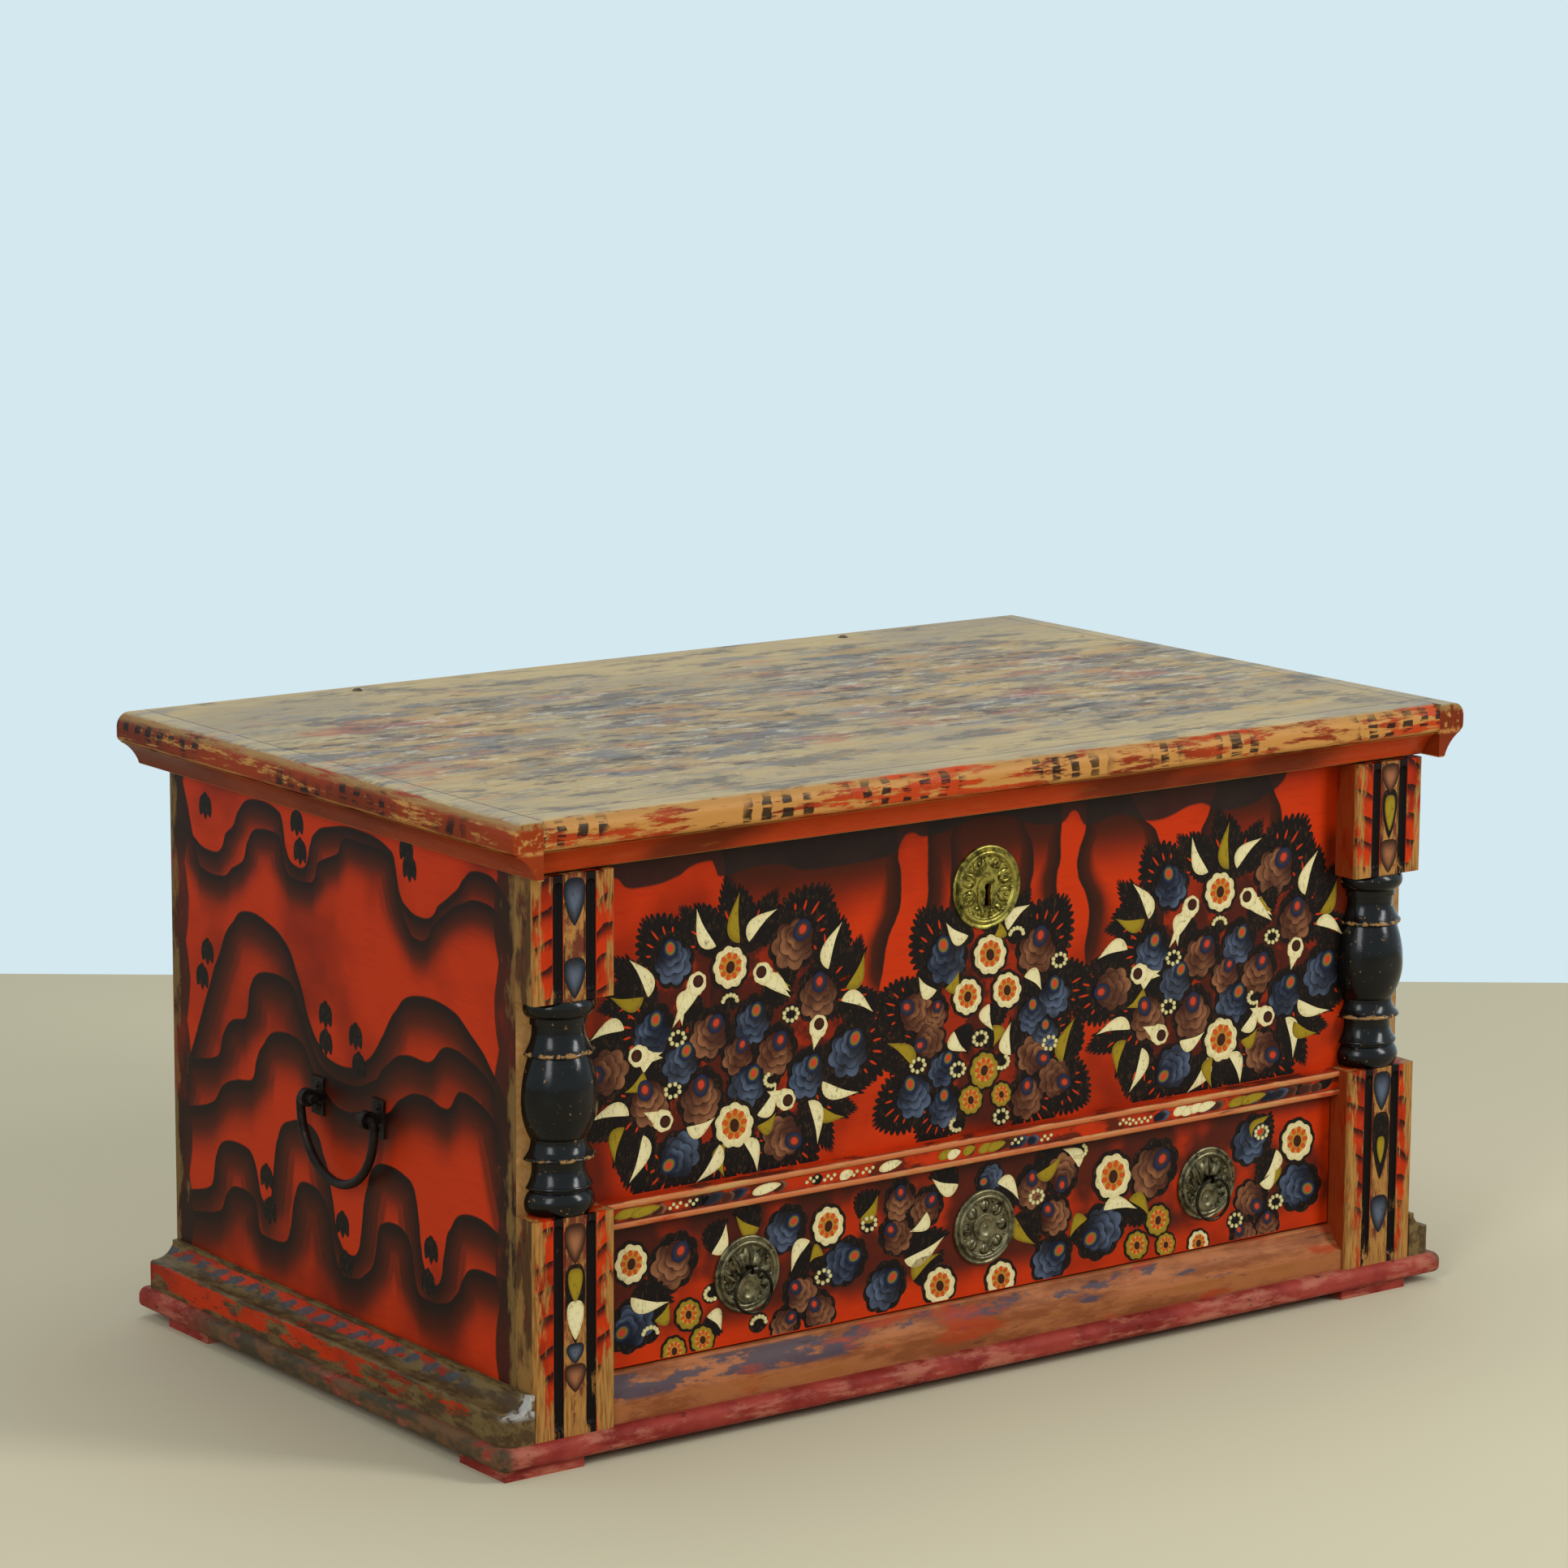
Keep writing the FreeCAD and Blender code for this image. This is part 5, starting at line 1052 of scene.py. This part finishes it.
BUNCH = {
    "blue": ((-50, 75, 20, -75), (-50, -25, 15, -120), (-85, -45, 18, -70), (-50, -60, 16, -90),
             (75, 25, 17, -90), (50, 10, 15, -90), (65, -10, 14, -90)),
    "brown": ((55, 70, 20, -105), (-85, 30, 17, -30), (-60, 25, 12, -105), (-70, 0, 15, 15),
              (55, -30, 17, 160), (80, -55, 17, 155), (45, -65, 17, -90)),
    "daisies": ((0, 70, 18), (-25, 35, 16), (20, 35, 16)),
    "olive_daisies": ((-5, -35, 16), (-20, -60, 13), (15, -60, 11)),
    "cream": ((-25, 90, -50, 105), (20, 90, 45, 110), (-60, 45, -80, 60), (40, 45, 60, 30),
              (-40, 5, -25, -15), (25, -25, 25, 5), (0, 25, 5, 0)),
    "olive": ((5, 85, 10, 100), (-50, 45, -35, 60), (-85, -20, -115, 5), (85, -40, 100, 0),
              (5, 5, 5, -15)),
    "beads": ((30, 85), (-80, -20), (-35, -30), (-35, -80), (15, -80), (-10, -5), (15, -30),
              (70, -20), (80, 55)),
}
DRAWER_BORDER = {
    "blue": ((-385, 105, 19, 25), (-220, 165, 17, -145), (-155, 125, 18, -160),
             (-110, 95, 18, -135), (80, 90, 18, -145), (135, 105, 21, 25), (320, 165, 19, -145),
             (380, 110, 20, 160), (5, 175, 12, 15)),
    "brown": ((-340, 155, 20, -130), (-205, 105, 15, -45), (-185, 85, 15, -55),
              (-220, 80, 13, -145), (-95, 170, 15, -90), (-65, 160, 15, -130), (-100, 140, 15, -45),
              (55, 160, 16, -90), (90, 165, 16, 90), (80, 130, 16, -45), (200, 155, 22, -140),
              (320, 105, 16, 140), (310, 75, 13, -45), (340, 80, 13, -90)),
    "daisies": ((-385, 160, 17), (-175, 160, 17), (-50, 85, 17), (20, 80, 16), (150, 155, 21),
                (375, 155, 19), (255, 75, 12)),
    "olive_daisies": ((-325, 105, 13), (-340, 75, 12), (-310, 80, 12), (205, 105, 14),
                      (180, 85, 13), (215, 80, 11)),
    "cream": ((-385, 130, -345, 120), (-195, 150, -215, 125), (-90, 115, -45, 130),
              (-30, 175, -60, 185), (15, 170, 40, 150), (140, 125, 180, 120), (350, 150, 335, 125),
              (-305, 100, -290, 85), (-300, 155, -285, 180), (330, 120, 350, 135),
              (110, 170, 90, 190), (-65, 155, -85, 140)),
    "olive": ((-360, 105, -345, 120), (-180, 135, -195, 130), (-80, 95, -50, 115),
              (35, 135, 60, 105), (170, 130, 195, 110), (345, 140, 340, 110),
              (-250, 170, -275, 185), (60, 170, 90, 185), (120, 120, 100, 105),
              (320, 165, 340, 185), (-140, 160, -120, 180)),
    "beads": ((-365, 95), (-180, 115), (350, 100), (-300, 120), (-130, 155), (60, 150), (110, 185),
              (300, 90), (330, 170), (-250, 85)),
}
# Left, right, lower and upper edge of the painted faces.
FRONT_EDGES = (-455, 455, 219.6, 511)
DRAWER_EDGES = (-415, 415, 71, 192)
RAIL_EDGES = (-417, 417, 202, 212)
# Drops and leaves down the reed of a block: left or right block, paint, upper and lower end,
# half width and layer.
BLOCK_MARKS = (
    (-1, "blue_drop", 509, 468, 10.5, "rose"), (-1, "blue_drop", 441, 406, 10.5, "rose"),
    (-1, "brown_drop", 213, 178, 10.5, "rose"), (-1, "shadow", 178, 108, 10.0, "comb"),
    (-1, "olive", 174, 144, 7.0, "leaf"), (-1, "cream", 146, 112, 8.0, "leaf"),
    (-1, "blue_drop", 109, 91, 8.5, "rose"), (-1, "brown_drop", 91, 66, 10.5, "rose"),
    (1, "brown_drop", 510, 482, 10.5, "rose"), (1, "shadow", 486, 438, 9.0, "comb"),
    (1, "olive", 480, 446, 6.0, "leaf"), (1, "brown_drop", 438, 406, 10.5, "rose"),
    (1, "blue_drop", 215, 177, 10.5, "rose"), (1, "shadow", 176, 110, 10.5, "comb"),
    (1, "olive", 152, 126, 4.5, "leaf"), (1, "blue_drop", 95, 58, 10.5, "rose"))
# The band on the middle rail: its height, the seed of its marks, how many beads lie together, and
# its groups of marks from left to right with their paints.
RAIL_MIDDLE, RAIL_SEED, RAIL_BEADS = 207, 11, 4
RAIL_GROUPS = ((-408, -330, ("bead", "brown", "cream", "olive")),
               (-320, -230, ("brown", "blue", "cream", "shadow")),
               (-205, -120, ("bead", "shadow", "olive", "cream")),
               (-60, 20, ("cream", "olive", "brown", "shadow")), (24, 70, ("blue", "bead")),
               (150, 185, ("bead",)), (200, 320, ("brown", "cream", "olive", "blue")),
               (330, 405, ("blue", "brown", "cream", "shadow")))
# How far the sunk floors of the drawer's rosettes and of the key plate lie in front of the board.
ROSETTE_FLOOR, KEY_PLATE_FLOOR = 1.6, 1.4
# Rosettes: place across, height, how far below it the outer ones' button is, and radius of the
# sunk bed.
ROSETTE_PLACE, ROSETTE_LEVEL, ROSETTE_DROP, ROSETTE_BED = 263, 131.5, 13.4, 27.5
FAN_LEAVES, WHEEL_PETALS, PLATE_SCROLLS = 11, 8, 8
# How far over the sunk floor chased work starts, how far from the button the outer rosettes' leaves
# start, and from which length on they have beads at the tip.
CHASE_LAYER, BUTTON_REACH, LONG_LEAF = 0.05, 14, 24
# Half width and half height of the smooth oval round the keyhole.
PLATE_OVAL = (11, 18)


def garden(canvas, plan, across=0, high=0, spread=None):
    """Paints one bunch round its middle, from the flames at the back to the beads in front."""
    wide = size_of("leaf_width") / MM

    def laid(kind, ends=2):
        """The rows of one kind, moved to the bunch's place; their first ends numbers are places."""
        return [[value + (across, high)[number % 2] if number < ends else value
                 for number, value in enumerate(row)] for row in plan.get(kind, ())]

    if spread:
        roses, leaves = laid("blue") + laid("brown"), laid("cream", 4) + laid("olive", 4)
        paint_flames(canvas, roses, leaves, across, high, *spread)
    for kind in ("brown", "blue"):
        for row in laid(kind):
            paint_rose(canvas, kind, *row)
    for kind in ("olive", "cream"):
        for row in laid(kind, 4):
            paint_leaf(canvas, kind, *row, wide)
    for row in laid("buds", 4):
        paint_bud(canvas, *row)
    for kind, rows in (("olive_daisy", laid("olive_daisies")), ("cream", laid("daisies"))):
        for x, z, radius in rows:
            paint_daisy(canvas, kind, x, z, radius, 0.3 + (x % 7) * 0.1)
    for number, (x, z) in enumerate(laid("beads")):
        paint_beads(canvas, x, z, 7 + number % 3, 7.5, number * 40, 360 if number % 3 else 200)


def paint_rail_mark(canvas, kind, place, height, wide):
    """One mark of the band on the rail: a few beads, a leaf or a smudged flower."""
    if kind == "bead":
        for number in range(RAIL_BEADS):
            at = (place + number * 3.6, height + (number % 2) * 3 - 1.5)
            canvas.stroke("bead", blob(at, 0, 1.9, 1.7), at, 9, LAYER["leaf"])
    elif kind in ("cream", "olive"):
        tip = (place + wide * 2.4, height + 2)
        canvas.stroke(kind, *leaf((place, height - 2), tip, 5.6, 0.8, 0.4), 20, LAYER["rose"])
    else:
        flower = blob((place, height), 0.2, wide, 5.3, 5, 0.12)
        canvas.stroke(kind, flower, (place - 2, height), 25, LAYER["comb"])


def chase(canvas, outline, middle, marks=10, layer=CHASE_LAYER):
    """Raises one shape of chased work."""
    canvas.stroke("leaf", outline, middle, marks, layer, 0.5, size_of("chasing") / MM)


def chase_bead(canvas, at, turn, long_way, wide_way, layer=CHASE_LAYER):
    """Raises one chased bead."""
    chase(canvas, blob(at, turn, long_way, wide_way), at, layer=layer)


def around(across, level, angle):
    """Places round a middle: how far out along the angle, and how far aside of it."""
    cos, sin = math.cos(angle), math.sin(angle)

    def at(out, aside=0.0):
        return across + cos * out - sin * aside, level + sin * out + cos * aside
    return at


def chase_fan(canvas, across):
    """Leaves fanning out from the button that the ring rests on, over the rosette's sunk bed."""
    for number in range(FAN_LEAVES):
        angle = math.radians(90 + (number - (FAN_LEAVES - 1) / 2) * 300 / FAN_LEAVES)
        at = around(across, ROSETTE_LEVEL - ROSETTE_DROP, angle)
        aside = ROSETTE_DROP * math.cos(angle)
        end = ROSETTE_DROP * math.sin(angle) + math.sqrt(max(0, ROSETTE_BED ** 2 - aside ** 2))
        wide = 1.6 + (end - BUTTON_REACH) * 0.2
        for side in (-1, 1):
            half = leaf(at(BUTTON_REACH), at(end), wide * side, 0.05, 0.4, wide * 0.5 * side)
            chase(canvas, *half, 16)
        if end > LONG_LEAF:
            for side in (-1, 1):
                chase_bead(canvas, at(end, -wide * side * 1.5), angle, 2.6, 1.9)


def chase_wheel(canvas):
    """Even petals round the middle rosette's button, with beads between their tips."""
    step = 2 * math.pi / WHEEL_PETALS
    for number in range(WHEEL_PETALS):
        angle = step * number
        at = around(0, ROSETTE_LEVEL, angle)
        for side in (-1, 1):
            chase(canvas, *leaf(at(26.5), at(13.5), 5.4 * side, 0.1, 0.2, 0.8 * side), 18)
        between = angle + step / 2
        chase_bead(canvas, around(0, ROSETTE_LEVEL, between)(25), between, 2.4, 1.7)


def chase_plate(canvas):
    """Curling leaf pairs between the key plate's oval and its rim."""
    half_wide, half_tall = PLATE_OVAL
    for number in range(PLATE_SCROLLS):
        angle = 2 * math.pi * (number + 0.5) / PLATE_SCROLLS
        at = around(0, KEY_LEVEL, angle)
        oval = 1 / math.hypot(math.cos(angle) / half_wide, math.sin(angle) / half_tall)
        for side in (-1, 1):
            curl = leaf(at(oval + 2), at(28.5, side * 4.5), 3.4 * side, 0.6, 0.3, 2.2 * side)
            chase(canvas, *curl, 16)
            chase_bead(canvas, at(27.5, side * 8.5), angle, 2.4, 2.0)
        chase_bead(canvas, at(23.5), angle, 3.0, 1.6, CHASE_LAYER * 2)


def front_canvas(name, body, face, edges=None):
    """A canvas that faces the front at the given depth."""
    return Canvas(name, body, (0, face, 0), (1, 0, 0), (0, 0, 1), edges)


def put(material, *names):
    """Gives construction pieces their paint."""
    for name in names:
        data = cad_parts[name].data
        data.materials.clear()
        data.materials.append(material)


class CHEST_OT_boards(bpy.types.Operator):
    """Paint the case boards: clouds on the sides, hangings on the front, a wash on the back"""
    bl_idname = "chest.boards"
    bl_label = "Case boards"
    bl_options = {"REGISTER", "UNDO"}

    def execute(self, context):
        put(paint_side(-1), "side_left")
        put(paint_side(1), "side_right")
        put(paint_front(), "front_board")
        put(paint_back(), "back_board")
        put(paint_bare("chest_floor_wood", ALONG_X), "chest_floor", "runner_left", "runner_right")
        put(paint_inner_red(), "stile_left", "stile_right", "bottom_rail")
        return {"FINISHED"}


class CHEST_OT_corners(bpy.types.Operator):
    """Paint the fluted corner blocks and the turned half-columns"""
    bl_idname = "chest.corners"
    bl_label = "Corner blocks and columns"
    bl_options = {"REGISTER", "UNDO"}

    def execute(self, context):
        put(paint_block(False), "top_block_left", "top_block_right")
        put(paint_block(True), "lower_block_left", "lower_block_right")
        put(paint_column(), "column_left", "column_right")
        return {"FINISHED"}


class CHEST_OT_lid(bpy.types.Operator):
    """Paint the lid boards and their mouldings"""
    bl_idname = "chest.lid"
    bl_label = "Lid"
    bl_options = {"REGISTER", "UNDO"}

    def execute(self, context):
        put(paint_lid_board(), "lid_board_front", "lid_board_middle", "lid_board_back")
        put(paint_lid_moulding(True), "lid_moulding_front")
        put(paint_lid_moulding(False), "lid_moulding_left", "lid_moulding_right")
        return {"FINISHED"}


class CHEST_OT_base(bpy.types.Operator):
    """Paint the middle rail, the base mouldings, the base board and the feet"""
    bl_idname = "chest.base"
    bl_label = "Rail, mouldings and base"
    bl_options = {"REGISTER", "UNDO"}

    def execute(self, context):
        put(paint_rail(), "mid_rail")
        put(paint_front_moulding(), "base_moulding_front")
        put(paint_side_moulding(), "base_moulding_left", "base_moulding_right")
        put(paint_base(), "base_board")
        put(paint_base(True), "foot_front_left", "foot_front_right", "foot_back_left",
            "foot_back_right")
        return {"FINISHED"}


class CHEST_OT_drawer(bpy.types.Operator):
    """Paint the drawer front and leave its box bare"""
    bl_idname = "chest.drawer"
    bl_label = "Drawer"
    bl_options = {"REGISTER", "UNDO"}

    def execute(self, context):
        put(paint_drawer(), "drawer_front")
        put(paint_bare("drawer_side_wood", ALONG_Y), "drawer_side_left", "drawer_side_right")
        put(paint_bare("drawer_bottom_wood", ALONG_X), "drawer_bottom", "drawer_back")
        return {"FINISHED"}


class CHEST_OT_metal(bpy.types.Operator):
    """Finish the ironwork, the drawer's bronze pulls and the brass key plate"""
    bl_idname = "chest.metal"
    bl_label = "Metalwork"
    bl_options = {"REGISTER", "UNDO"}

    def execute(self, context):
        iron = paint_metal("forged_iron", "iron", 0.5, 0.6, (26, 18, 15), 14, 0.6)
        put(iron, "lock_case", "lock_bolt", "lid_staple", "hinge_pins", "iron_nails")
        for side in ("left", "right"):
            put(iron, "handle_lugs_" + side, "handle_" + side, "hinge_case_leaf_" + side,
                "hinge_lid_leaf_" + side)
        put(paint_metal("rivet_iron", (98, 82, 66), 0.6, 0.3, (54, 42, 33), 6, 0.3), "hinge_rivets")
        put(paint_metal("pull_bronze", "bronze", 0.36, 0.75, (58, 54, 40), 10, 0.2),
            "rosette_left", "rosette_centre", "rosette_right")
        put(paint_metal("ring_bronze", (50, 46, 38), 0.26, 0.85, (20, 18, 15), 10, 0.15),
            "pull_eyes", "ring_left", "ring_right")
        put(paint_metal("key_plate_brass", "brass", 0.34, 0.8, (64, 60, 26), 8, 0.2), "escutcheon")
        return {"FINISHED"}


class CHEST_OT_front_flowers(bpy.types.Operator):
    """Paint the two wreaths and the middle bunch on the front board"""
    bl_idname = "chest.front_flowers"
    bl_label = "Front flowers"
    bl_options = {"REGISTER", "UNDO"}

    def execute(self, context):
        canvas = front_canvas("front", "case", FRONT_FACE, FRONT_EDGES)
        for plan, (across, high, *spread) in zip((WREATH, BUNCH, WREATH), WREATHS):
            garden(canvas, plan, across, high, spread)
        canvas.finish()
        return {"FINISHED"}


class CHEST_OT_drawer_flowers(bpy.types.Operator):
    """Paint the flower border on the drawer front"""
    bl_idname = "chest.drawer_flowers"
    bl_label = "Drawer flowers"
    bl_options = {"REGISTER", "UNDO"}

    def execute(self, context):
        canvas = front_canvas("drawer", "drawer", DRAWER_FACE, DRAWER_EDGES)
        garden(canvas, DRAWER_BORDER)
        canvas.finish()
        return {"FINISHED"}


class CHEST_OT_block_strokes(bpy.types.Operator):
    """Paint the drops and leaves down the reeds of the corner blocks"""
    bl_idname = "chest.block_strokes"
    bl_label = "Block strokes"
    bl_options = {"REGISTER", "UNDO"}

    def execute(self, context):
        canvas = front_canvas("block", "case", BLOCK_FACE)
        for sign, kind, top, low, wide, layer in BLOCK_MARKS:
            middle = sign * BLOCK_MIDDLE
            drop = leaf((middle, top), (middle, low), wide, 1.0, 0.6, 0, 0, -0.4)
            canvas.stroke(kind, *drop, 28, LAYER[layer], 0.5)
        canvas.finish()
        return {"FINISHED"}


class CHEST_OT_rail_flowers(bpy.types.Operator):
    """Paint the worn flower band on the middle rail"""
    bl_idname = "chest.rail_flowers"
    bl_label = "Rail flowers"
    bl_options = {"REGISTER", "UNDO"}

    def execute(self, context):
        canvas = front_canvas("rail", "case", BAND_FACE, RAIL_EDGES)
        chance = random.Random(RAIL_SEED)
        for low, high, kinds in RAIL_GROUPS:
            place = low
            while place < high:
                kind = kinds[chance.randrange(len(kinds))]
                height = RAIL_MIDDLE + chance.uniform(-1.2, 1.2)
                wide = chance.uniform(6, 14)
                paint_rail_mark(canvas, kind, place, height, wide)
                place += wide * 1.3
        canvas.finish()
        return {"FINISHED"}


class CHEST_OT_chasing(bpy.types.Operator):
    """Raise the chased leaves on the drawer's rosettes and the key plate"""
    bl_idname = "chest.chasing"
    bl_label = "Chased leaves"
    bl_options = {"REGISTER", "UNDO"}

    def execute(self, context):
        bronze = paint_metal("chased_bronze", "bronze", 0.36, 0.8, (30, 27, 20), 6, 0.15)
        brass = paint_metal("chased_brass", "brass", 0.34, 0.85, (62, 52, 18), 5, 0.15)
        drawer = front_canvas("rosette", "drawer", DRAWER_FACE - ROSETTE_FLOOR)
        for across in (-ROSETTE_PLACE, ROSETTE_PLACE):
            chase_fan(drawer, across)
        chase_wheel(drawer)
        drawer.finish("dark_bronze", bronze)
        plate = front_canvas("key_plate", "case", FRONT_FACE - KEY_PLATE_FLOOR)
        chase_plate(plate)
        plate.finish("brass", brass)
        return {"FINISHED"}


class CHEST_OT_side_buds(bpy.types.Operator):
    """Paint the black buds between the clouds of both sides"""
    bl_idname = "chest.side_buds"
    bl_label = "Side buds"
    bl_options = {"REGISTER", "UNDO"}

    def execute(self, context):
        for name, sign in (("side_left", -1), ("side_right", 1)):
            canvas = Canvas(name, "case", (sign * SIDE_FACE, 0, 0), (0, sign, 0), (0, 0, 1))
            for y, z in SIDE_BUDS:
                across = y * sign
                for lean in (-1, 0, 1):
                    high = BUD_HALF - abs(lean) * BUD_SHORTER
                    petal = leaf((across + lean * BUD_NECK, z + high),
                                 (across + lean * BUD_SPREAD, z - high), BUD_WIDE, 1.0, 0.6)
                    canvas.stroke("shadow", *petal, 14, LAYER["shade"] + 0.05, 0.0)
            canvas.finish()
        return {"FINISHED"}


# Where the photo's camera stood, in metres, which way it looked, in degrees, and its lens in
# millimetres.
CAMERA_PLACE = (-2.8005, -3.7688, 1.3651)
CAMERA_TURN, CAMERA_TILT, CAMERA_ROLL = -36.47, 10.54, 0.333
CAMERA_LENS, CAMERA_SENSOR = 118.19, 36
# How far in front of the camera the floor ends, and half its length.
FLOOR_END, FLOOR_HALF = 6.057, 7.0
# Soft lights: name, place, what it is aimed at, width and height, and power.
LIGHTS = (
    ("key_light", (2.2, -3.0, 2.4), (0.1, 0, 0.2), (0.9, 2.3), 95),
    ("fill_light", (-3.4, -2.2, 2.2), (-0.3, 0, 0.25), (1.1, 2.5), 64),
    ("top_light", (0.2, 0.6, 3.2), (0, 0, 0.4), (2.2, 2.2), 32),
)
# Colour and strength of the light from the room all round.
ROOM_LIGHT, ROOM_STRENGTH = (226, 232, 236), 0.5


class CHEST_OT_stage(bpy.types.Operator):
    """Set the floor, the light, the background and the camera"""
    bl_idname = "chest.stage"
    bl_label = "Stage"
    bl_options = {"REGISTER", "UNDO"}

    def execute(self, context):
        scene = context.scene
        scene.view_settings.view_transform = "Standard"
        turn, tilt, roll = (math.radians(a) for a in (CAMERA_TURN, CAMERA_TILT, CAMERA_ROLL))
        level = math.cos(tilt)
        forward = Vector((-math.sin(turn) * level, math.cos(turn) * level, -math.sin(tilt)))
        right = forward.cross(Vector((0, 0, 1))).normalized()
        up = right.cross(forward)
        side = right * math.cos(roll) + up * math.sin(roll)
        high = up * math.cos(roll) - right * math.sin(roll)
        data = bpy.data.cameras.new("photo_view")
        data.lens, data.sensor_width = CAMERA_LENS, CAMERA_SENSOR
        camera = bpy.data.objects.new("photo_view", data)
        scene.collection.objects.link(camera)
        turned = Matrix((side, high, -forward)).transposed().to_4x4()
        camera.matrix_world = Matrix.Translation(CAMERA_PLACE) @ turned
        scene.camera = camera
        self.make_floor(scene, forward, right)
        self.make_light(scene)
        return {"FINISHED"}

    def make_floor(self, scene, forward, right):
        """A pale floor that ends in a straight line behind the chest."""
        flat = Vector((forward.x, forward.y, 0)).normalized()
        made = bmesh.new()
        bmesh.ops.create_grid(made, x_segments=1, y_segments=1, size=FLOOR_HALF)
        under_camera = Vector((*CAMERA_PLACE[:2], 0))
        middle = under_camera + flat * (FLOOR_END - FLOOR_HALF)
        for point in made.verts:
            point.co = middle + right * point.co.x + flat * point.co.y
        data = bpy.data.meshes.new("floor")
        made.to_mesh(data)
        made.free()
        floor = bpy.data.objects.new("floor", data)
        scene.collection.objects.link(floor)
        p = Paint("floor_paint", 0.7)
        data.materials.append(p.done(p.mix(p.noise(400, 3) * 0.5, "floor", (196, 188, 164))))

    def make_light(self, scene):
        """A soft light from the right, a weaker one from the left, and a pale room all round."""
        for name, place, aim, wide, power in LIGHTS:
            data = bpy.data.lights.new(name, "AREA")
            data.shape, data.energy = "RECTANGLE", power
            data.size, data.size_y = wide
            lamp = bpy.data.objects.new(name, data)
            scene.collection.objects.link(lamp)
            lamp.location = place
            lamp.rotation_euler = (Vector(aim) - Vector(place)).to_track_quat("-Z", "Y").to_euler()
        world = bpy.data.worlds.new("room")
        scene.world = world
        world.use_nodes = True
        tree = world.node_tree
        ground = tree.nodes["Background"]
        ground.inputs["Color"].default_value = colour_of(ROOM_LIGHT)
        ground.inputs["Strength"].default_value = ROOM_STRENGTH
        seen = tree.nodes.new("ShaderNodeBackground")
        seen.inputs["Color"].default_value = colour_of("wall")
        path, choice = tree.nodes.new("ShaderNodeLightPath"), tree.nodes.new("ShaderNodeMixShader")
        shown = path.outputs["Is Camera Ray"]
        for ray in ("Is Glossy Ray", "Is Transmission Ray"):
            either = tree.nodes.new("ShaderNodeMath")
            either.operation = "MAXIMUM"
            tree.links.new(shown, either.inputs[0])
            tree.links.new(path.outputs[ray], either.inputs[1])
            shown = either.outputs[0]
        tree.links.new(shown, choice.inputs[0])
        tree.links.new(ground.outputs[0], choice.inputs[1])
        tree.links.new(seen.outputs[0], choice.inputs[2])
        tree.links.new(choice.outputs[0], tree.nodes["World Output"].inputs["Surface"])


OPERATORS = (CHEST_OT_boards, CHEST_OT_corners, CHEST_OT_lid, CHEST_OT_base, CHEST_OT_drawer,
             CHEST_OT_metal, CHEST_OT_front_flowers, CHEST_OT_drawer_flowers, CHEST_OT_side_buds,
             CHEST_OT_block_strokes, CHEST_OT_rail_flowers, CHEST_OT_chasing, CHEST_OT_stage)


class CHEST_PT_panel(bpy.types.Panel):
    """The chest's colours, sizes and steps"""
    bl_label = "Painted chest"
    bl_idname = "CHEST_PT_panel"
    bl_space_type = "VIEW_3D"
    bl_region_type = "UI"
    bl_category = "Chest"

    def draw(self, context):
        for group in (context.scene.chest_colours, context.scene.chest_sizes):
            box = self.layout.box()
            for name in group.__annotations__:
                box.prop(group, name)
        for operator in OPERATORS:
            self.layout.operator(operator.bl_idname)


CLASSES = (ChestColours, ChestSizes, *OPERATORS, CHEST_PT_panel)


def register():
    for item in CLASSES:
        bpy.utils.register_class(item)
    bpy.types.Scene.chest_colours = PointerProperty(type=ChestColours)
    bpy.types.Scene.chest_sizes = PointerProperty(type=ChestSizes)


def unregister():
    del bpy.types.Scene.chest_sizes
    del bpy.types.Scene.chest_colours
    for item in reversed(CLASSES):
        bpy.utils.unregister_class(item)


def main():
    register()
    for operator in OPERATORS:
        group, name = operator.bl_idname.split(".")
        getattr(getattr(bpy.ops, group), name)()


if __name__ == "__main__":
    main()
